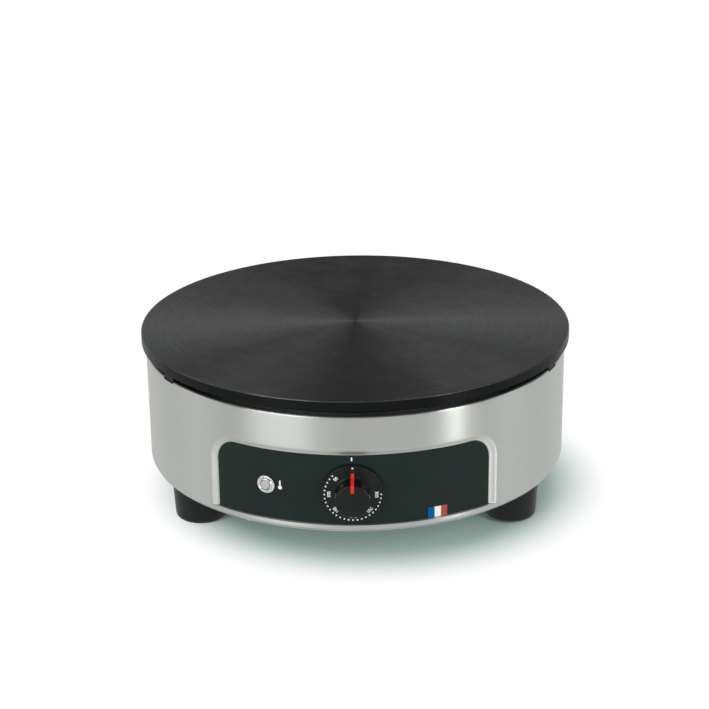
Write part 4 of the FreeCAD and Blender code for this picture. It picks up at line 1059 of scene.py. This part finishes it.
def scale_number(text, angle):
    curve = bpy.data.curves.new("number", "FONT")
    curve.body = text
    curve.size = NUMBER_SIZE
    curve.align_x = "CENTER"
    curve.align_y = "CENTER"
    curve.offset = NUMBER_SWELL
    curve.extrude = SCALE_INK_T
    curve.space_character = NUMBER_SPACING
    number = bpy.data.objects.new("scale_number", curve)
    bpy.context.scene.collection.objects.link(number)
    select_nothing()
    number.select_set(True)
    bpy.context.view_layer.objects.active = number
    bpy.ops.object.convert(target="MESH")
    number = bpy.context.object
    number.data.transform(Matrix.Diagonal((NUMBER_NARROWING, 1.0, 1.0, 1.0)))
    put_on_dial(number, angle, NUMBER_RING_R)
    return number


dot_count = round((LAST_MARK - FIRST_MARK) / DOT_EVERY) + 1
dot_angles = [0.0] + [FIRST_MARK + DOT_EVERY * step for step in range(dot_count)]
dots = join_all([scale_dot(angle) for angle in dot_angles], "scale_dots")
number_count = round(LAST_MARK / NUMBER_EVERY)
steps = range(1, number_count + 1)
numbers = [scale_number(str(HEAT_EVERY * step), NUMBER_EVERY * step) for step in steps]
numbers = join_all(numbers, "scale_numbers")
for part in (dots, numbers):
    finish_piece(part, "knob_black", "dial", material=WHITE_INK)

# %% [markdown]
# ## The lamp
# The bezel is chromed brass: a flat flange, a raised ring and a hollow round the lens. It is a
# low cylinder whose top face is inset and raised in steps and then sunk in the middle. The lens
# is a low dome made by steps of the same kind and smoothed by one subdivision.


# %% Model the lamp
BEZEL_R = 8.3 * MM
BEZEL_SEAT = OVERLAY_R + 0.3 * MM
BEZEL_FLANGE_T = 0.9 * MM
BEZEL_ROUND = 0.16 * MM
BEZEL_SINK = 0.6 * MM
LENS_R = 4.4 * MM
LENS_LOW = 0.2 * MM
LENS_HIGH = 2.2 * MM
LAMP_POINTS = 96
BEZEL_STEPS = ((0.7, 0.6), (1.1, 0.0), (0.25, 1.3), (0.45, 0.3), (0.6, 0.0), (0.65, -1.2))
LENS_STEPS = ((0.5, 0.55), (1.2, 0.30), (1.4, 0.12))


def step_inward(piece, steps):
    """Insets the top face again and again. Each step is a width and a rise in millimetres."""
    open_for_edit(piece)
    pick_faces(piece, faces_up)
    for width, rise in steps:
        bpy.ops.mesh.inset(thickness=width * MM, depth=rise * MM)


bezel = new_round("lamp_bezel_ring", BEZEL_R, 0, BEZEL_FLANGE_T, LAMP_POINTS)
step_inward(bezel, BEZEL_STEPS)
draw_out(0, 0, -BEZEL_SINK)
close_edit()
apply_modifier(
    bezel, "BEVEL", width=BEZEL_ROUND, segments=3, limit_method="ANGLE", angle_limit=0.4
)
bezel.data.transform(outward(BEZEL_SEAT, LAMP_HEIGHT, LAMP_AZIMUTH))
smooth(bezel, 40)
finish_piece(bezel, "chrome", "base", ["lamp_bezel"])

lens = new_round("lamp_lens_dome", LENS_R, LENS_LOW, LENS_HIGH, LAMP_POINTS)
step_inward(lens, LENS_STEPS)
close_edit()
apply_modifier(lens, "SUBSURF", levels=1, render_levels=1)
lens.data.transform(outward(BEZEL_SEAT, LAMP_HEIGHT, LAMP_AZIMUTH))
smooth(lens, 50)
finish_piece(lens, "lens", "base", ["lamp_lens"])

# %% [markdown]
# ## Floor
# The object stands on a white table in a white studio. Near the object the floor is a matte
# surface that takes its rendered shadow, and there its colour is a dark teal grey, painted shade
# that deepens and tints that shadow, in a patch shifted a little to the right. Further out it
# fades to plain white, so that no horizon shows. Steel mirrors it as a plain bright surface. From
# below it is clear, so that the underside can be looked at.

# %% Lay the floor
FLOOR_HALF = 6.0
# Out to these radii the floor keeps its dark teal matte colour, painted shade that deepens the
# shadow near the object, with the patch shifted to the right.
FLOOR_SHADED_TO = 0.155
FLOOR_WHITE_FROM = 0.229
FLOOR_SHADE_SHIFT = 0.018
FLOOR_IN_METAL = 0.85
FLOOR_SHADED_MATTE = (0.52, 0.69, 0.63, 1)
FLOOR_MIRRORED = (0.975, 1.0, 0.965, 1)
WHITE = (1, 1, 1, 1)

select_nothing()
bpy.ops.mesh.primitive_plane_add(size=2 * FLOOR_HALF)
floor = name_new("floor")
floor_finish = Finish("floor")
floor_x = floor_finish.axis("X") - FLOOR_SHADE_SHIFT
floor_y = floor_finish.axis("Y")
distance = (floor_x * floor_x + floor_y * floor_y).power(0.5)
fade = floor_finish.node(
    "ShaderNodeMapRange",
    {"clamp": True, "interpolation_type": "SMOOTHSTEP"},
    {0: distance, 1: FLOOR_SHADED_TO, 2: FLOOR_WHITE_FROM, 3: 0.0, 4: 1.0},
)
seen = floor_finish.node("ShaderNodeLightPath", out="Is Camera Ray")
glossy = floor_finish.node("ShaderNodeLightPath", out="Is Glossy Ray")
matte = floor_finish.node("ShaderNodeBsdfDiffuse", {}, {"Color": FLOOR_SHADED_MATTE})
white = floor_finish.node("ShaderNodeEmission", {}, {"Color": WHITE, "Strength": 1.0})
mirrored = floor_finish.node(
    "ShaderNodeEmission", {}, {"Color": FLOOR_MIRRORED, "Strength": FLOOR_IN_METAL}
)
bright = floor_finish.node("ShaderNodeMixShader", {}, [glossy, white, mirrored])
blend = floor_finish.node("ShaderNodeMixShader", {}, [seen * fade + glossy, matte, bright])
underneath = floor_finish.node("ShaderNodeNewGeometry", {}, (), "Backfacing")
clear = floor_finish.node("ShaderNodeBsdfTransparent")
blend = floor_finish.node("ShaderNodeMixShader", {}, [underneath, blend, clear])
floor_finish.tree.links.new(blend.socket, floor_finish.output.inputs["Surface"])
floor.data.materials.append(floor_finish.material)
print("floor", 2 * FLOOR_HALF, "m wide")

# %% [markdown]
# ## Studio light
# The world is white for the camera, a dim studio in what metal mirrors and a slightly brighter
# one for everything else. Eight soft lamps shape the drum and the plate, because steel shows only
# what it mirrors. All of them point at the middle of the body.

# %% Set the studio light
STUDIO_LEVEL = 0.48
STUDIO_IN_METAL = 0.29
AIM = (0, 0, 0.1)

world = bpy.data.worlds.new("studio")
bpy.context.scene.world = world
world.use_nodes = True
sky = world.node_tree
sky.nodes.clear()
rays = sky.nodes.new("ShaderNodeLightPath")


def background(colour, strength):
    node = sky.nodes.new("ShaderNodeBackground")
    node.inputs["Color"].default_value = colour
    node.inputs["Strength"].default_value = strength
    return node.outputs[0]


def choose(kind_of_ray, other, chosen):
    """The chosen sky for that kind of ray, and the other one for the rest."""
    node = sky.nodes.new("ShaderNodeMixShader")
    sky.links.new(rays.outputs[kind_of_ray], node.inputs[0])
    sky.links.new(other, node.inputs[1])
    sky.links.new(chosen, node.inputs[2])
    return node.outputs[0]


studio = background((0.96, 0.98, 1.0, 1), STUDIO_LEVEL)
studio_in_metal = background((0.97, 1.0, 0.98, 1), STUDIO_IN_METAL)
around = choose("Is Glossy Ray", studio, studio_in_metal)
whole = choose("Is Camera Ray", around, background(WHITE, 1.0))
sky_out = sky.nodes.new("ShaderNodeOutputWorld")
sky.links.new(whole, sky_out.inputs["Surface"])


def soft_lamp(name, place, width, height, power):
    data = bpy.data.lights.new(name, "AREA")
    data.shape = "RECTANGLE"
    data.size = width
    data.size_y = height
    data.energy = power
    lamp = bpy.data.objects.new(name, data)
    bpy.context.scene.collection.objects.link(lamp)
    lamp.location = place
    direction = Vector(AIM) - Vector(place)
    lamp.rotation_euler = direction.to_track_quat("-Z", "Y").to_euler()
    print(name, power, "W")


soft_lamp("lamp_back", (-0.15, 2.3, 0.75), 2.1, 1.0, 4.8)
soft_lamp("lamp_over_left", (-0.40, 1.1, 1.54), 0.16, 0.8, 4.2)
soft_lamp("lamp_over_right", (0.48, 1.25, 1.5), 0.6, 0.6, 5)
soft_lamp("lamp_front", (0.1, -2.4, 1.25), 2.6, 0.9, 6)
soft_lamp("lamp_front_left", (-1.29, -1.65, 0.95), 1.2, 1.4, 18)
soft_lamp("lamp_strip_right", (1.57, -1.24, 0.8), 0.12, 1.3, 11)
soft_lamp("lamp_side_left", (-2.1, -0.1, 0.8), 1.0, 1.2, 3)
soft_lamp("lamp_side_right", (2.1, -0.1, 0.8), 0.9, 1.2, 2.9)

# %% [markdown]
# ## Closing
# The view transform stays plain, so that colours render as they are written.

# %% Finish the scene
bpy.context.scene.view_settings.view_transform = "Standard"
select_nothing()
